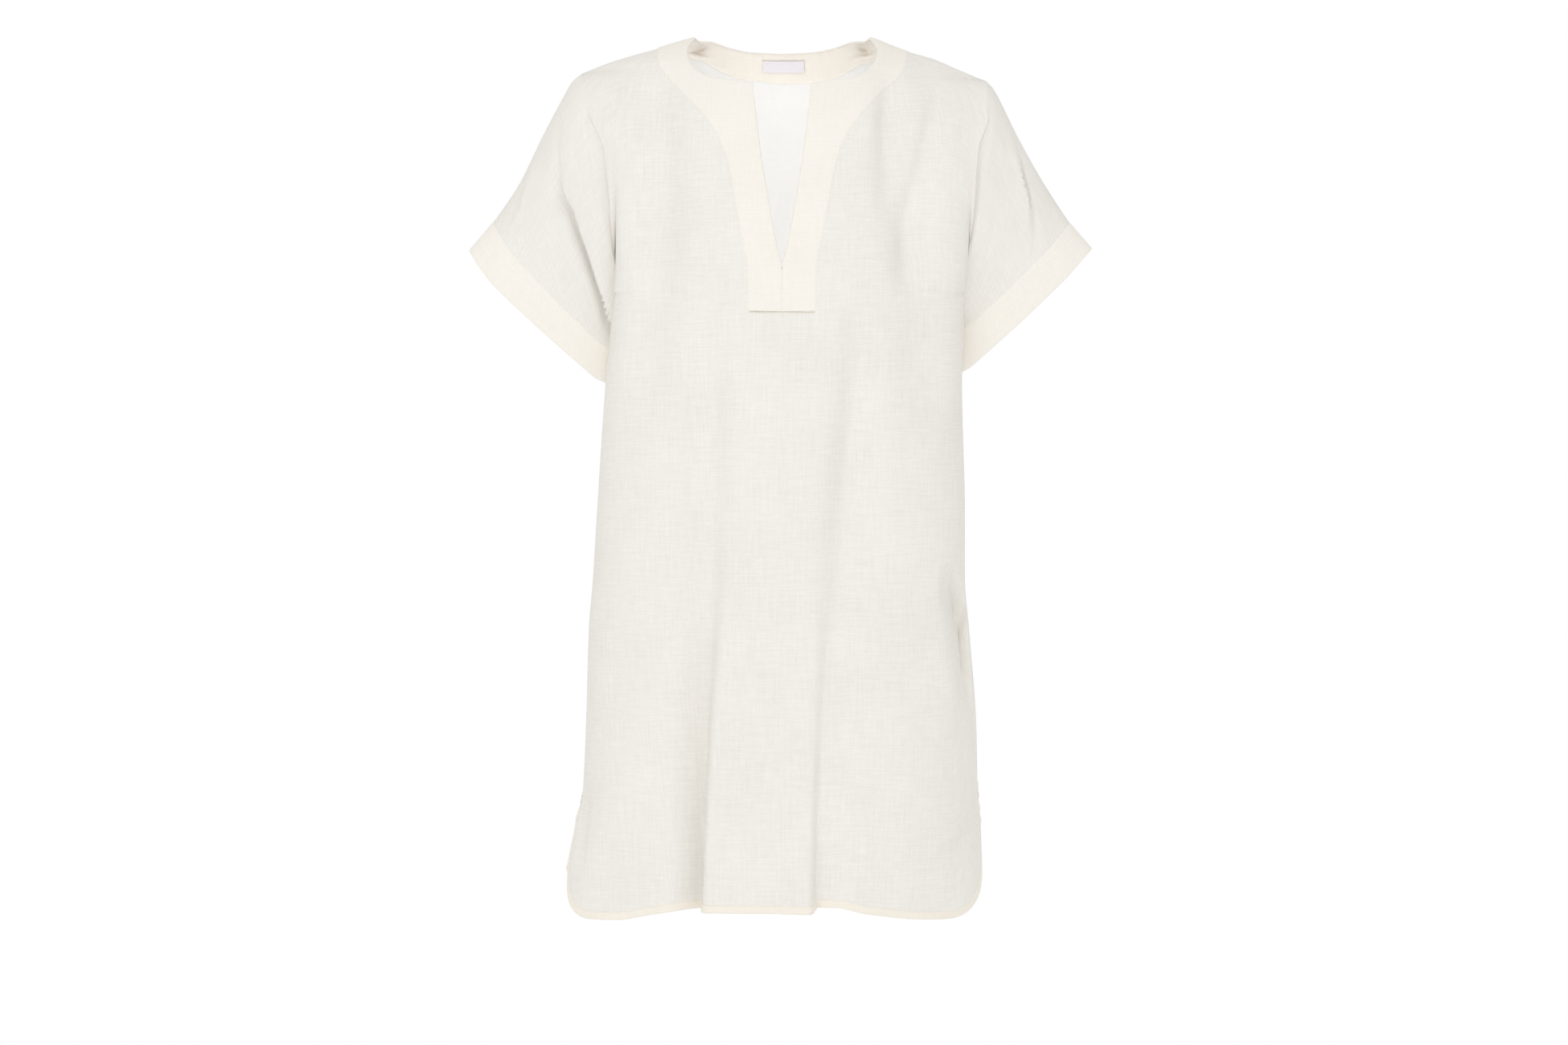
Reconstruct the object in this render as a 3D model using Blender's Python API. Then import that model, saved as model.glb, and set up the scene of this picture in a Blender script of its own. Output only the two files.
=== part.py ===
"""A linen mini dress: a straight tunic with kimono sleeves, worn and hollow.

The front faces -Y, up is +Z and "left" is the side at -X. The origin lies midway between the two
points where the neckline crosses the shoulder seams. Every piece is a wall of cloth on one shared
form: level sections of the body, whose widths and depths are in the tables below, and a flattened
tube for each sleeve. Neighbouring pieces meet edge to edge, a seam gap apart.
"""
import math

import bmesh
import bpy
from mathutils import Vector
from mathutils.kdtree import KDTree

# Cloth, in metres
PANEL_WALL = 0.0020
BAND_WALL = 0.0028  # doubled cloth
LABEL_WALL = 0.0010
SEAM_GAP = 0.0003
SEAM_REACH = 2.5 * SEAM_GAP  # edges closer than this belong to one seam
BAND_GAP = 1.3 * SEAM_GAP  # gap beside a band, measured level and upright on the slanting cloth
BAND_PROUD = 0.0004  # how far doubled cloth stands out of the panel's face
BINDING_WIDTH = 0.0065
BINDING_DROP = 0.00045  # the binding ends this far below the vents' tops

# Levels
ARMPIT = -0.264
PLACKET_FOOT = -0.285
SLIT_FOOT = -0.2394
VENT_TOP = -0.768
VENT_FULL = -0.880  # the vents have spread all the way here
HEM_LEVEL = -0.878
CORNER = {"left": 0.043, "right": 0.053}  # radius of the hem's corners

HAND = {"left": -1, "right": 1}
FACE = {"front": -1, "back": 1}
CENTRE = -0.002  # the placket hangs a little to the left
PLACKET_HALF = 0.0328


def table(columns, *rows):
    """A short table as a dictionary: the name of each column and its values."""
    return {name: [row[k] for row in rows] for k, name in enumerate(columns.split())}


# Half widths of the body: the armhole line down to the armpit, then the side seam and the vent
WIDTH = table(
    "z left right",
    (-0.900, 0.2190, 0.1975),
    (-0.846, 0.2175, 0.1995),
    (-0.797, 0.2105, 0.1990),
    (-0.768, 0.2045, 0.1970),
    (-0.700, 0.2010, 0.1955),
    (-0.600, 0.1980, 0.1880),
    (-0.551, 0.1940, 0.1840),
    (-0.485, 0.1900, 0.1840),
    (-0.350, 0.1810, 0.1810),
    (-0.264, 0.1755, 0.1870),
    (-0.227, 0.1735, 0.1900),
    (-0.176, 0.1730, 0.1940),
    (-0.118, 0.1810, 0.1990),
    (-0.084, 0.1930, 0.2060),
    (-0.035, 0.2060, 0.2060),
)
# Depths from the side seams' plane at the centre, and how square the sections are: low is square
DEPTH = table(
    "z front back square",
    (-0.890, 0.140, 0.136, 1.05),
    (-0.760, 0.134, 0.128, 0.76),
    (-0.620, 0.124, 0.114, 0.72),
    (-0.480, 0.117, 0.099, 0.72),
    (-0.360, 0.118, 0.095, 0.72),
    (-0.270, 0.120, 0.099, 0.72),
    (-0.200, 0.114, 0.102, 0.75),
    (-0.120, 0.103, 0.098, 0.85),
    (-0.055, 0.089, 0.087, 1.10),
    (0.020, 0.078, 0.074, 1.30),
)
# The ridge of the shoulders, carried on across the neck
RIDGE = table(
    "x left right",
    (0.0000, 0.0115, 0.0115),
    (0.0450, 0.0105, 0.0105),
    (0.0700, 0.0060, 0.0060),
    (0.0885, 0.0004, 0.0004),
    (0.0980, -0.0022, -0.0028),
    (0.1100, -0.0052, -0.0072),
    (0.1300, -0.0115, -0.0140),
    (0.1520, -0.0172, -0.0208),
    (0.1760, -0.0240, -0.0310),
    (0.2060, -0.0350, -0.0440),
)
ROUNDING = {"front": 0.110, "back": 0.090}  # drop below the ridge where the full depth is reached
ROUND_POWER = 2.2
SIDE_POWER = 2.0  # how quickly the depth of the armhole or the spread vent fades from the side
# Half width of the cut-out for the placket, in the front panel
CUT_OUT = table(
    "z half",
    (-0.2850, 0.0328),
    (-0.2480, 0.0332),
    (-0.2240, 0.0361),
    (-0.2060, 0.0402),
    (-0.1780, 0.0454),
    (-0.1490, 0.0506),
    (-0.1266, 0.0560),
    (-0.1075, 0.0640),
)
NECK_EDGE = {
    "front": table(
        "t x z",
        (0.00, 0.0640, -0.1075),
        (0.25, 0.0780, -0.0865),
        (0.50, 0.0985, -0.0655),
        (0.75, 0.1170, -0.0460),
        (0.90, 0.1245, -0.0300),
        (1.00, 0.1270, -0.0105),
    ),
    "back": table(
        "t x z",
        (0.00, 0.0000, -0.0365),
        (0.40, 0.0490, -0.0312),
        (0.53, 0.0646, -0.0253),
        (0.67, 0.0820, -0.0175),
        (0.85, 0.1075, -0.0132),
        (1.00, 0.1270, -0.0105),
    ),
}
# The bands' inner edges: the neckline, from the slit or the centre back to the shoulder seam
NECKLINE = {
    "front": table(
        "t x z",
        (0.00, 0.0293, -0.0552),
        (0.18, 0.0430, -0.0527),
        (0.40, 0.0630, -0.0502),
        (0.58, 0.0775, -0.0464),
        (0.70, 0.0865, -0.0398),
        (0.80, 0.0930, -0.0300),
        (0.90, 0.0960, -0.0175),
        (1.00, 0.0885, 0.0004),
    ),
    "back": table(
        "t x z",
        (0.00, 0.0000, -0.0087),
        (0.35, 0.0320, -0.0074),
        (0.60, 0.0560, -0.0034),
        (0.80, 0.0740, 0.0004),
        (1.00, 0.0885, 0.0004),
    ),
}
SLIT = table(
    "z half",
    (-0.2394, 0.0000),
    (-0.2200, 0.0050),
    (-0.1970, 0.0094),
    (-0.1580, 0.0160),
    (-0.1350, 0.0199),
    (-0.0552, 0.0293),
)
# Hem levels of the panels, above the binding, by distance from the centre
HEM = table(
    "x left right",
    (0.000, -0.8710, -0.8710),
    (0.035, -0.8715, -0.8705),
    (0.055, -0.8710, -0.8680),
    (0.090, -0.8695, -0.8735),
    (0.130, -0.8745, -0.8795),
    (0.165, -0.8815, -0.8815),
    (0.215, -0.8835, -0.8800),
)
# The top and bottom edges of the sleeves: along is 0 at the armhole, 1 at the cuff's seam, 2 at its edge
OVERARM = table(
    "along left_x left_z right_x right_z",
    (0.00, 0.2060, -0.0350, 0.2060, -0.0440),
    (0.15, 0.2225, -0.0545, 0.2195, -0.0630),
    (0.45, 0.2460, -0.1000, 0.2415, -0.1070),
    (0.75, 0.2700, -0.1490, 0.2660, -0.1500),
    (1.00, 0.2975, -0.1890, 0.2925, -0.1900),
    (2.00, 0.3210, -0.2170, 0.3140, -0.2150),
)
UNDERARM = table(
    "along left_x left_z right_x right_z",
    (0.00, 0.1755, -0.2640, 0.1870, -0.2640),
    (0.30, 0.1805, -0.2790, 0.1885, -0.2750),
    (1.00, 0.1840, -0.3120, 0.1885, -0.2960),
    (2.00, 0.1855, -0.3485, 0.1850, -0.3420),
)
ARMHOLE_TOP = {"left": -0.035, "right": -0.044}
SLEEVE_DEPTH = table(
    "along front back",
    (0.00, 0.058, 0.056),
    (1.00, 0.036, 0.036),
    (2.00, 0.031, 0.031),
)
SLEEVE_ROUND = 0.70  # the power that rounds a sleeve's section
VENT_SPREAD = 0.040
# Large troughs in the body's cloth, with a width on the side of the centre and one outside.
# One that fades is deepest halfway down, and the others run out at the hem.
FOLDS = {
    "front": table(
        "x_top x_foot top foot depth inner outer fades",
        (-0.076, -0.086, -0.400, -0.880, 0.026, 0.026, 0.030, False),
        (0.068, 0.050, -0.400, -0.880, 0.027, 0.011, 0.034, False),
        (-0.136, -0.150, -0.060, -0.400, 0.010, 0.024, 0.018, True),
        (0.162, 0.160, -0.060, -0.400, 0.012, 0.024, 0.018, True),
    ),
    "back": table(
        "x_top x_foot top foot depth inner outer fades",
        (-0.060, -0.098, -0.430, -0.880, 0.024, 0.026, 0.030, False),
        (0.012, 0.024, -0.520, -0.880, 0.018, 0.020, 0.024, False),
        (0.092, 0.122, -0.440, -0.880, 0.020, 0.024, 0.026, False),
        (-0.150, -0.146, -0.060, -0.360, 0.010, 0.022, 0.018, True),
        (0.156, 0.152, -0.060, -0.360, 0.010, 0.022, 0.018, True),
    ),
}
EDGE_HOLD = 6  # the power by which troughs fade towards the side seams and armholes
# Folds of the sleeves: the cloth on the body's side of the line lies over the cloth outside it
FLAPS = table(
    "side panel along_top around_top along_foot around_foot depth width",
    ("left", "front", 0.42, 0.10, 0.55, 1.00, 0.009, 0.12),
    ("right", "front", 0.38, 0.03, 0.94, 0.30, 0.007, 0.12),
    ("left", "back", 0.36, 0.08, 0.52, 0.95, 0.006, 0.14),
    ("right", "back", 0.40, 0.10, 0.56, 1.00, 0.007, 0.14),
)
# How far the middle of a sleeve's end hangs below the straight line between its two corners
SLEEVE_BOW = table(
    "around left right",
    (0.00, 0.0000, 0.0000),
    (0.12, 0.0050, 0.0015),
    (0.26, 0.0075, 0.0030),
    (0.55, 0.0060, 0.0025),
    (0.85, 0.0035, 0.0012),
    (1.00, 0.0000, 0.0000),
)
BACK_BOW = 0.5  # the back of a sleeve's end hangs less

# Cells of the sheets
YOKE_ROWS = 9
YOKE_RISE = 1.3  # the row at the armpit's level has risen before it gets to the side
SKIRT_ROWS = 8
VENT_ROWS = 3
CORNER_CELLS = 4
SLEEVE_CELLS = 6
COLUMN_POWER = 0.72  # columns lie closer together towards the sides, where the cloth turns
NECK_COLUMNS = 6  # columns between the cut-out and the shoulder seam
NECK_POWER = 1.5  # and closer together as the neck edge nears the seam
NECK_SHARE = 0.37  # how far round the body the shoulder seam's inner end leads
SHOULDER_COLUMNS = 4  # columns from there to the hem's corner
BAND_LINES = (0.0, 0.36, 0.80, 1.0)  # lines across the bands; the label lies between the middle two
BAND_FOOT = 0.15  # share of the front band's inner edge below the slit
BAND_CORNER = 0.60  # and below the corner where the slit meets the neckline
LABEL_HALF = 0.0215

CLOTHS = {
    # name: base colour, roughness
    "linen": ((0.875, 0.850, 0.795), 0.90),
    "doubled_linen": ((0.900, 0.860, 0.775), 0.90),
    "binding": ((0.900, 0.855, 0.775), 0.85),
    "label_satin": ((0.830, 0.810, 0.850), 0.60),
}


def slope(keys, values, k):
    """The tangent of a table's curve at row k, flat at a turning point."""
    if k in (0, len(keys) - 1):
        near = 1 if k == 0 else k - 1
        return (values[k] - values[near]) / (keys[k] - keys[near])
    before = (values[k] - values[k - 1]) / (keys[k] - keys[k - 1])
    after = (values[k + 1] - values[k]) / (keys[k + 1] - keys[k])
    return 0.0 if before * after <= 0 else 2 * before * after / (before + after)


def read(tab, key, column, at):
    """The value of a column on a smooth curve through the table's rows."""
    keys, values = tab[key], tab[column]
    if at <= keys[0]:
        return values[0]
    if at >= keys[-1]:
        return values[-1]
    k = next(n for n in range(len(keys) - 1) if at <= keys[n + 1])
    step = keys[k + 1] - keys[k]
    t = (at - keys[k]) / step
    start = slope(keys, values, k) * step
    end = slope(keys, values, k + 1) * step
    rise = values[k + 1] - values[k]
    return values[k] + t * (start + t * (3 * rise - 2 * start - end + t * (start + end - 2 * rise)))


def mix(a, b, t):
    return a + (b - a) * t


def ease(t):
    """0 to 1, level at both ends."""
    t = min(max(t, 0.0), 1.0)
    return t * t * (3 - 2 * t)


def round_over(t):
    """0 to 1 along a quarter of a superellipse, upright at 0."""
    t = min(max(t, 0.0), 1.0)
    return (1 - (1 - t) ** ROUND_POWER) ** (1 / ROUND_POWER)


def side_depth(panel, side, z):
    """How far the panel's side edge lies from the plane of the seams."""
    top = ARMHOLE_TOP[side]
    if z > ARMPIT:
        around = min(max((top - z) / (top - ARMPIT), 0.0), 1.0)
        return SLEEVE_DEPTH[panel][0] * math.sin(math.pi * around) ** SLEEVE_ROUND
    return VENT_SPREAD * ease((VENT_TOP - z) / (VENT_TOP - VENT_FULL))


def fold_height(panel, x, z):
    """How far the large folds push the cloth in at x, z."""
    folds = FOLDS[panel]
    total = 0.0
    for k in range(len(folds["depth"])):
        down = (folds["top"][k] - z) / (folds["top"][k] - folds["foot"][k])
        away = x - mix(folds["x_top"][k], folds["x_foot"][k], down)
        inner = away * folds["x_foot"][k] < 0
        width = folds["inner"][k] if inner else folds["outer"][k]
        swell = max(4 * down * (1 - down), 0.0) if folds["fades"][k] else ease(down) ** 1.5
        total -= folds["depth"][k] * swell * math.exp(-((away / width) ** 2))
    return total


def body_point(panel, side, half, z):
    """The body's outer face at a level, by its distance from the centre line."""
    width = read(WIDTH, "z", side, z)
    sine = min(half / width, 1.0)
    cosine = math.sqrt(1 - sine * sine)
    lobe = cosine ** read(DEPTH, "z", "square", z)
    drop = read(RIDGE, "x", side, half) - z
    depth = read(DEPTH, "z", panel, z) * lobe * round_over(drop / ROUNDING[panel])
    depth += side_depth(panel, side, z) * (1 - lobe) ** SIDE_POWER
    x = HAND[side] * half + CENTRE * cosine
    push = fold_height(panel, x, z) * (1 - sine ** EDGE_HOLD)
    depth = max(depth + push * cosine, SEAM_GAP / 2)
    return Vector((x + HAND[side] * push * sine, FACE[panel] * depth, z))


def sleeve_point(panel, side, along, around):
    """A sleeve's outer face: around is 0 at the overarm seam and 1 at the underarm seam."""
    top_x = read(OVERARM, "along", side + "_x", along)
    top_z = read(OVERARM, "along", side + "_z", along)
    low_x = read(UNDERARM, "along", side + "_x", along)
    low_z = read(UNDERARM, "along", side + "_z", along)
    start_z = mix(ARMHOLE_TOP[side], ARMPIT, around)
    start_x = mix(OVERARM[side + "_x"][0], UNDERARM[side + "_x"][0], around)
    hold = max(1 - along, 0.0) ** 2
    x = mix(top_x, low_x, around) + (read(WIDTH, "z", side, start_z) - start_x) * hold
    z = mix(top_z, low_z, around)
    bow = read(SLEEVE_BOW, "around", side, around) * min(along, 1.0) ** 1.5
    bow *= 1.0 if panel == "front" else BACK_BOW
    edge = math.hypot(top_x - low_x, top_z - low_z)
    x += bow * (top_z - low_z) / edge
    z -= bow * (top_x - low_x) / edge
    depth = read(SLEEVE_DEPTH, "along", panel, along) * math.sin(math.pi * around) ** SLEEVE_ROUND
    depth = max(depth + flap_height(panel, side, along, around), SEAM_GAP / 2)
    return Vector((HAND[side] * x, FACE[panel] * depth, z))


def flap_height(panel, side, along, around):
    """How far a sleeve's flap stands over the cloth outside it: nothing at the armhole."""
    total = 0.0
    for k in range(len(FLAPS["depth"])):
        if (FLAPS["side"][k], FLAPS["panel"][k]) != (side, panel):
            continue
        down = (around - FLAPS["around_top"][k]) / (FLAPS["around_foot"][k] - FLAPS["around_top"][k])
        edge = mix(FLAPS["along_top"][k], FLAPS["along_foot"][k], down)
        away = (along - edge) / FLAPS["width"][k]
        inside = ease(0.5 - away)
        fade = math.exp(-((away / 3) ** 2)) * ease(down * 2) * ease((1.25 - down) * 4) * ease(along * 4)
        total += FLAPS["depth"][k] * (inside - 0.5) * 2 * fade * math.sin(math.pi * around)
    return total


def half_at(panel, side, share, z):
    """The distance from the centre line of the column at a share of the way to the side."""
    width = read(WIDTH, "z", side, z)
    start = 0.0
    if panel == "front" and z > PLACKET_FOOT:
        first = share_of_half(side, PLACKET_HALF, PLACKET_FOOT)
        start = math.asin(read(CUT_OUT, "z", "half", z) / width)
        share = max((share - first) / (1 - first), 0.0)
    turn = 1 - (1 - share) ** (1 / COLUMN_POWER)
    return width * math.sin(mix(start, math.pi / 2, turn))


def share_of_half(side, half, z):
    """The column share that lies at a distance from the centre, where there is no cut-out."""
    turn = math.asin(half / read(WIDTH, "z", side, z)) / (math.pi / 2)
    return 1 - (1 - turn) ** COLUMN_POWER


def corner_share(panel, side, distance):
    """The column share that lies at a distance from the hem's side edge, along the cloth."""
    steps = 400
    last = body_point(panel, side, half_at(panel, side, 1.0, HEM_LEVEL), HEM_LEVEL)
    run = 0.0
    for k in range(1, steps):
        share = 1 - k / steps
        point = body_point(panel, side, half_at(panel, side, share, HEM_LEVEL), HEM_LEVEL)
        run += (point - last).length
        last = point
        if run >= distance:
            return share
    raise ValueError("the corner is wider than the panel")


def columns_of(panel, side):
    """Column shares from the centre to the side, and how far each one's hem is above the level."""
    first = share_of_half(side, PLACKET_HALF, PLACKET_FOOT)
    edge = BINDING_WIDTH + SEAM_GAP
    turns = [k / CORNER_CELLS * math.pi / 2 for k in range(CORNER_CELLS + 1)]
    radius = CORNER[side]
    corner = [corner_share(panel, side, edge + radius * (1 - math.sin(turn))) for turn in turns]
    lifts = [radius * (1 - math.cos(turn)) for turn in turns]
    shares = [0.0] + [mix(first, NECK_SHARE, k / NECK_COLUMNS) for k in range(NECK_COLUMNS)]
    shares += [mix(NECK_SHARE, corner[0], k / SHOULDER_COLUMNS) for k in range(SHOULDER_COLUMNS)]
    return shares + corner + [1.0], [0.0] * len(shares) + lifts + [radius]


def top_of(panel, side, shares, column):
    """A column's distance from the centre and its level at the panel's top edge."""
    begin = 1 if panel == "front" else 0
    neck_end = NECK_COLUMNS + 1
    if column < neck_end:
        t = neck_share((column - begin) / (neck_end - begin))
        return read(NECK_EDGE[panel], "t", "x", t), read(NECK_EDGE[panel], "t", "z", t)
    t = (shares[column] - shares[neck_end]) / (1 - shares[neck_end])
    half = mix(NECK_EDGE[panel]["x"][-1], WIDTH[side][-1], t)
    return half, read(RIDGE, "x", side, half)


def neck_share(t):
    return 1 - (1 - t) ** NECK_POWER


def yoke_shares():
    """Shares of the way down from the top edge to the armpit's row, closer at both ends."""
    return [(1 - math.cos(math.pi * k / YOKE_ROWS)) / 2 for k in range(YOKE_ROWS + 1)]


def yoke_place(panel, side, shares, column, down):
    """The distance from the centre line and the level of a point above the armpit's row."""
    half, top = top_of(panel, side, shares, column)
    if column == len(shares) - 1:
        half, top = WIDTH[side][-1], ARMHOLE_TOP[side]
    z = mix(top, yoke_level(shares[column]), down)
    shift = half - half_at(panel, side, shares[column], top)
    return half_at(panel, side, shares[column], z) + shift * (1 - down) ** 2, z


def yoke_level(share):
    """The armpit's row rises from the placket's foot to the armpit, and is level at both ends."""
    return mix(PLACKET_FOOT, ARMPIT, ease(share * YOKE_RISE))


def skirt_shares():
    """Shares of the way down from the armpit's row to the hem; one row lies at the vents' tops."""
    edge = HEM["left"][-1] + CORNER["left"]
    vent = (VENT_TOP - ARMPIT) / (edge - ARMPIT)
    rows = [vent * k / SKIRT_ROWS for k in range(SKIRT_ROWS)]
    return rows + [mix(vent, 1.0, k / VENT_ROWS) for k in range(VENT_ROWS + 1)]


def skirt_point(panel, side, shares, lifts, column, down):
    share = shares[column]
    level = HEM_LEVEL
    for _ in range(3):
        half = half_at(panel, side, share, level)
        level = read(HEM, "x", side, half) + lifts[column]
    z = mix(yoke_level(share), level, down)
    return body_point(panel, side, half_at(panel, side, share, z), z)


def grid_points(bm, rows, columns, place):
    """Adds a grid of cells to the mesh and puts each corner where place(row, column) says."""
    made = bmesh.ops.create_grid(bm, x_segments=columns, y_segments=rows, size=0.5)
    for vert in made["verts"]:
        column = round((vert.co.x + 0.5) * columns)
        row = round((vert.co.y + 0.5) * rows)
        vert.co = place(row, column)


def panel_sheet(panel):
    """The outer face of a panel: the body and its halves of both sleeves in one sheet."""
    bm = bmesh.new()
    for side in HAND:
        shares, lifts = columns_of(panel, side)
        yoke, skirt = yoke_shares(), skirt_shares()
        begin = 1 if panel == "front" else 0
        last = len(shares) - 1
        grid_points(
            bm, YOKE_ROWS, last - begin,
            lambda row, column: body_point(
                panel, side, *yoke_place(panel, side, shares, begin + column, yoke[row])
            ),
        )
        grid_points(
            bm, SKIRT_ROWS, last,
            lambda row, column: skirt_point(panel, side, shares, lifts, column, skirt[row]),
        )
        grid_points(
            bm, VENT_ROWS, last - 1,
            lambda row, column: skirt_point(panel, side, shares, lifts, column, skirt[SKIRT_ROWS + row]),
        )
        grid_points(
            bm, YOKE_ROWS, SLEEVE_CELLS,
            lambda row, column: sleeve_point(panel, side, column / SLEEVE_CELLS, yoke[row]),
        )
    bmesh.ops.remove_doubles(bm, verts=bm.verts, dist=1e-5)
    face_out(bm, Vector((0, FACE[panel], 0)))
    return bm


def face_out(bm, way):
    """Turns an open sheet's faces so that they point the given way on the whole."""
    bmesh.ops.recalc_face_normals(bm, faces=bm.faces)
    bm.normal_update()
    if sum(face.normal.dot(way) * face.calc_area() for face in bm.faces) < 0:
        bmesh.ops.reverse_faces(bm, faces=bm.faces)
    bm.normal_update()


def join_normals(sheets):
    """Gives each vertex its way out, shared by the edges that meet at a seam."""
    rims = [vert for bm in sheets for vert in bm.verts if vert.is_boundary]
    edges = [(vert.co.copy(), vert.normal.copy()) for vert in rims]
    tree = KDTree(len(edges))
    for k, (place, _) in enumerate(edges):
        tree.insert(place, k)
    tree.balance()
    for bm in sheets:
        way = bm.verts.layers.float_vector.new("way")
        for vert in bm.verts:
            normal = vert.normal.copy()
            if vert.is_boundary:
                near = tree.find_range(vert.co, SEAM_REACH)
                normal = sum((edges[k][1] for _, k, _ in near), Vector())
            if abs(vert.co.y) < SEAM_GAP:
                normal.y = 0.0
            vert[way] = normal.normalized()


def thicken(bm, outward, inward):
    """Makes a closed wall from a sheet, with its faces this far out of the sheet and in from it."""
    way = bm.verts.layers.float_vector["way"]
    made = bmesh.ops.extrude_face_region(bm, geom=bm.faces[:], use_keep_orig=True)
    moved = {item for item in made["geom"] if isinstance(item, bmesh.types.BMVert)}
    for vert in bm.verts:
        vert.co -= vert[way] * (inward if vert in moved else -outward)
    split_rims(bm, moved)
    bmesh.ops.recalc_face_normals(bm, faces=bm.faces)


def split_rims(bm, moved):
    """Cuts each rim face in two, by a rule that gives the two rims of a seam the same cuts."""
    rule = Vector((1.0, 0.37, 0.61))
    for face in bm.faces[:]:
        inner = [vert for vert in face.verts if vert in moved]
        outer = [vert for vert in face.verts if vert not in moved]
        if len(inner) != 2 or len(outer) != 2:
            continue
        start = min(outer, key=lambda vert: vert.co.dot(rule))
        across = next(vert for vert in inner if not bm.edges.get((start, vert)))
        bmesh.utils.face_split(face, start, across)


def finish(bm, name, cloth):
    """The mesh as a named object in its cloth."""
    mesh = bpy.data.meshes.new(name)
    bm.to_mesh(mesh)
    bm.free()
    mesh.shade_smooth()
    mesh.set_sharp_from_angle(angle=math.radians(50))
    item = bpy.data.objects.new(name, mesh)
    bpy.context.scene.collection.objects.link(item)
    item.data.materials.append(material(cloth))


def material(name):
    made = bpy.data.materials.get(name)
    if made is None:
        made = bpy.data.materials.new(name)
        made.use_nodes = True
        colour, roughness = CLOTHS[name]
        shader = made.node_tree.nodes["Principled BSDF"]
        shader.inputs["Base Color"].default_value = (*colour, 1.0)
        shader.inputs["Roughness"].default_value = roughness
        shader.inputs["Metallic"].default_value = 0.0
    return made


def band_inner(side, t):
    """The front band's inner edge: 0 at the placket's foot, then the slit and the neckline."""
    if t <= BAND_FOOT:
        return SEAM_GAP / 2, mix(PLACKET_FOOT, SLIT_FOOT, t / BAND_FOOT)
    if t <= BAND_CORNER:
        up = (t - BAND_FOOT) / (BAND_CORNER - BAND_FOOT)
        z = mix(SLIT_FOOT, NECKLINE["front"]["z"][0], up)
        return max(read(SLIT, "z", "half", z), SEAM_GAP / 2), z
    t = (t - BAND_CORNER) / (1 - BAND_CORNER)
    return read(NECKLINE["front"], "t", "x", t), read(NECKLINE["front"], "t", "z", t)


def front_band(side):
    """One half of the neck band with its half of the placket, in the panel's cut-out."""
    shares, _ = columns_of("front", side)
    yoke = yoke_shares()
    rising = yoke[::-1]
    around = [k / NECK_COLUMNS for k in range(1, NECK_COLUMNS + 1)]
    outer = [yoke_place("front", side, shares, 1, down) for down in rising]
    outer += [yoke_place("front", side, shares, k + 2, 0.0) for k in range(NECK_COLUMNS)]
    inner = [BAND_CORNER * (1 - down) for down in rising]
    inner += [mix(BAND_CORNER, 1.0, neck_share(t)) for t in around]

    def place(line, station):
        inner_half, inner_z = band_inner(side, inner[station])
        outer_half, outer_z = outer[station]
        width = math.hypot(outer_half - inner_half, outer_z - inner_z)
        share = max(BAND_LINES[line], BAND_GAP / width)
        half = mix(outer_half, inner_half, share)
        z = mix(outer_z, inner_z, share)
        if station == 0:
            z += SEAM_GAP
        if station == len(outer) - 1:
            z = read(RIDGE, "x", side, half)
        return body_point("front", side, half, z)

    bm = bmesh.new()
    grid_points(bm, len(BAND_LINES) - 1, len(outer) - 1, place)
    face_out(bm, Vector((0, -1, 0)))
    return bm


def back_band_point(line, station):
    """The back neck band's sheet; station 0 is the centre, negative ones are on the left."""
    side = "left" if station < 0 else "right"
    columns = NECK_COLUMNS + 1
    shares, _ = columns_of("back", side)
    outer_half, outer_z = yoke_place("back", side, shares, abs(station), 0.0)
    t = neck_share(abs(station) / columns)
    inner_half = read(NECKLINE["back"], "t", "x", t)
    inner_z = read(NECKLINE["back"], "t", "z", t)
    width = math.hypot(outer_half - inner_half, outer_z - inner_z)
    share = max(BAND_LINES[line], BAND_GAP / width)
    half = mix(outer_half, inner_half, share)
    z = mix(outer_z, inner_z, share)
    if abs(station) == columns:
        z = read(RIDGE, "x", side, half)
    return body_point("back", side, half, z)


def back_band():
    columns = NECK_COLUMNS + 1
    bm = bmesh.new()
    grid_points(
        bm, len(BAND_LINES) - 1, 2 * columns,
        lambda line, station: back_band_point(line, station - columns),
    )
    face_out(bm, Vector((0, 1, 0)))
    return bm


def label():
    """A bare label on the inside of the back band, between the band's middle lines."""
    bm = bmesh.new()

    def place(line, station):
        centre = back_band_point(line + 1, 0)
        if station == 1:
            return centre
        side = back_band_point(line + 1, station - 1)
        return centre.lerp(side, LABEL_HALF / abs(side.x - centre.x))

    grid_points(bm, 1, 2, place)
    face_out(bm, Vector((0, 1, 0)))
    return bm


def cuff(side):
    """A turned band of doubled cloth round the sleeve's end."""
    yoke = yoke_shares()
    around = len(yoke) - 1
    length = (sleeve_point("front", side, 1.0, 0.5) - sleeve_point("front", side, 2.0, 0.5)).length
    start = 1.0 + SEAM_GAP / length
    alongs = (start, 1.5, 2.0)

    def place(row, column):
        if column <= around:
            return sleeve_point("front", side, alongs[row], yoke[column])
        return sleeve_point("back", side, alongs[row], yoke[2 * around - column])

    bm = bmesh.new()
    grid_points(bm, len(alongs) - 1, 2 * around, place)
    for vert in bm.verts:
        if abs(vert.co.y) <= SEAM_GAP:
            vert.co.y = 0.0
    bmesh.ops.remove_doubles(bm, verts=bm.verts, dist=1e-5)
    bmesh.ops.recalc_face_normals(bm, faces=bm.faces)
    bm.normal_update()
    front = min(bm.faces, key=lambda face: face.calc_center_median().y)
    if front.normal.y > 0:
        bmesh.ops.reverse_faces(bm, faces=bm.faces)
        bm.normal_update()
    return bm


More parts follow.
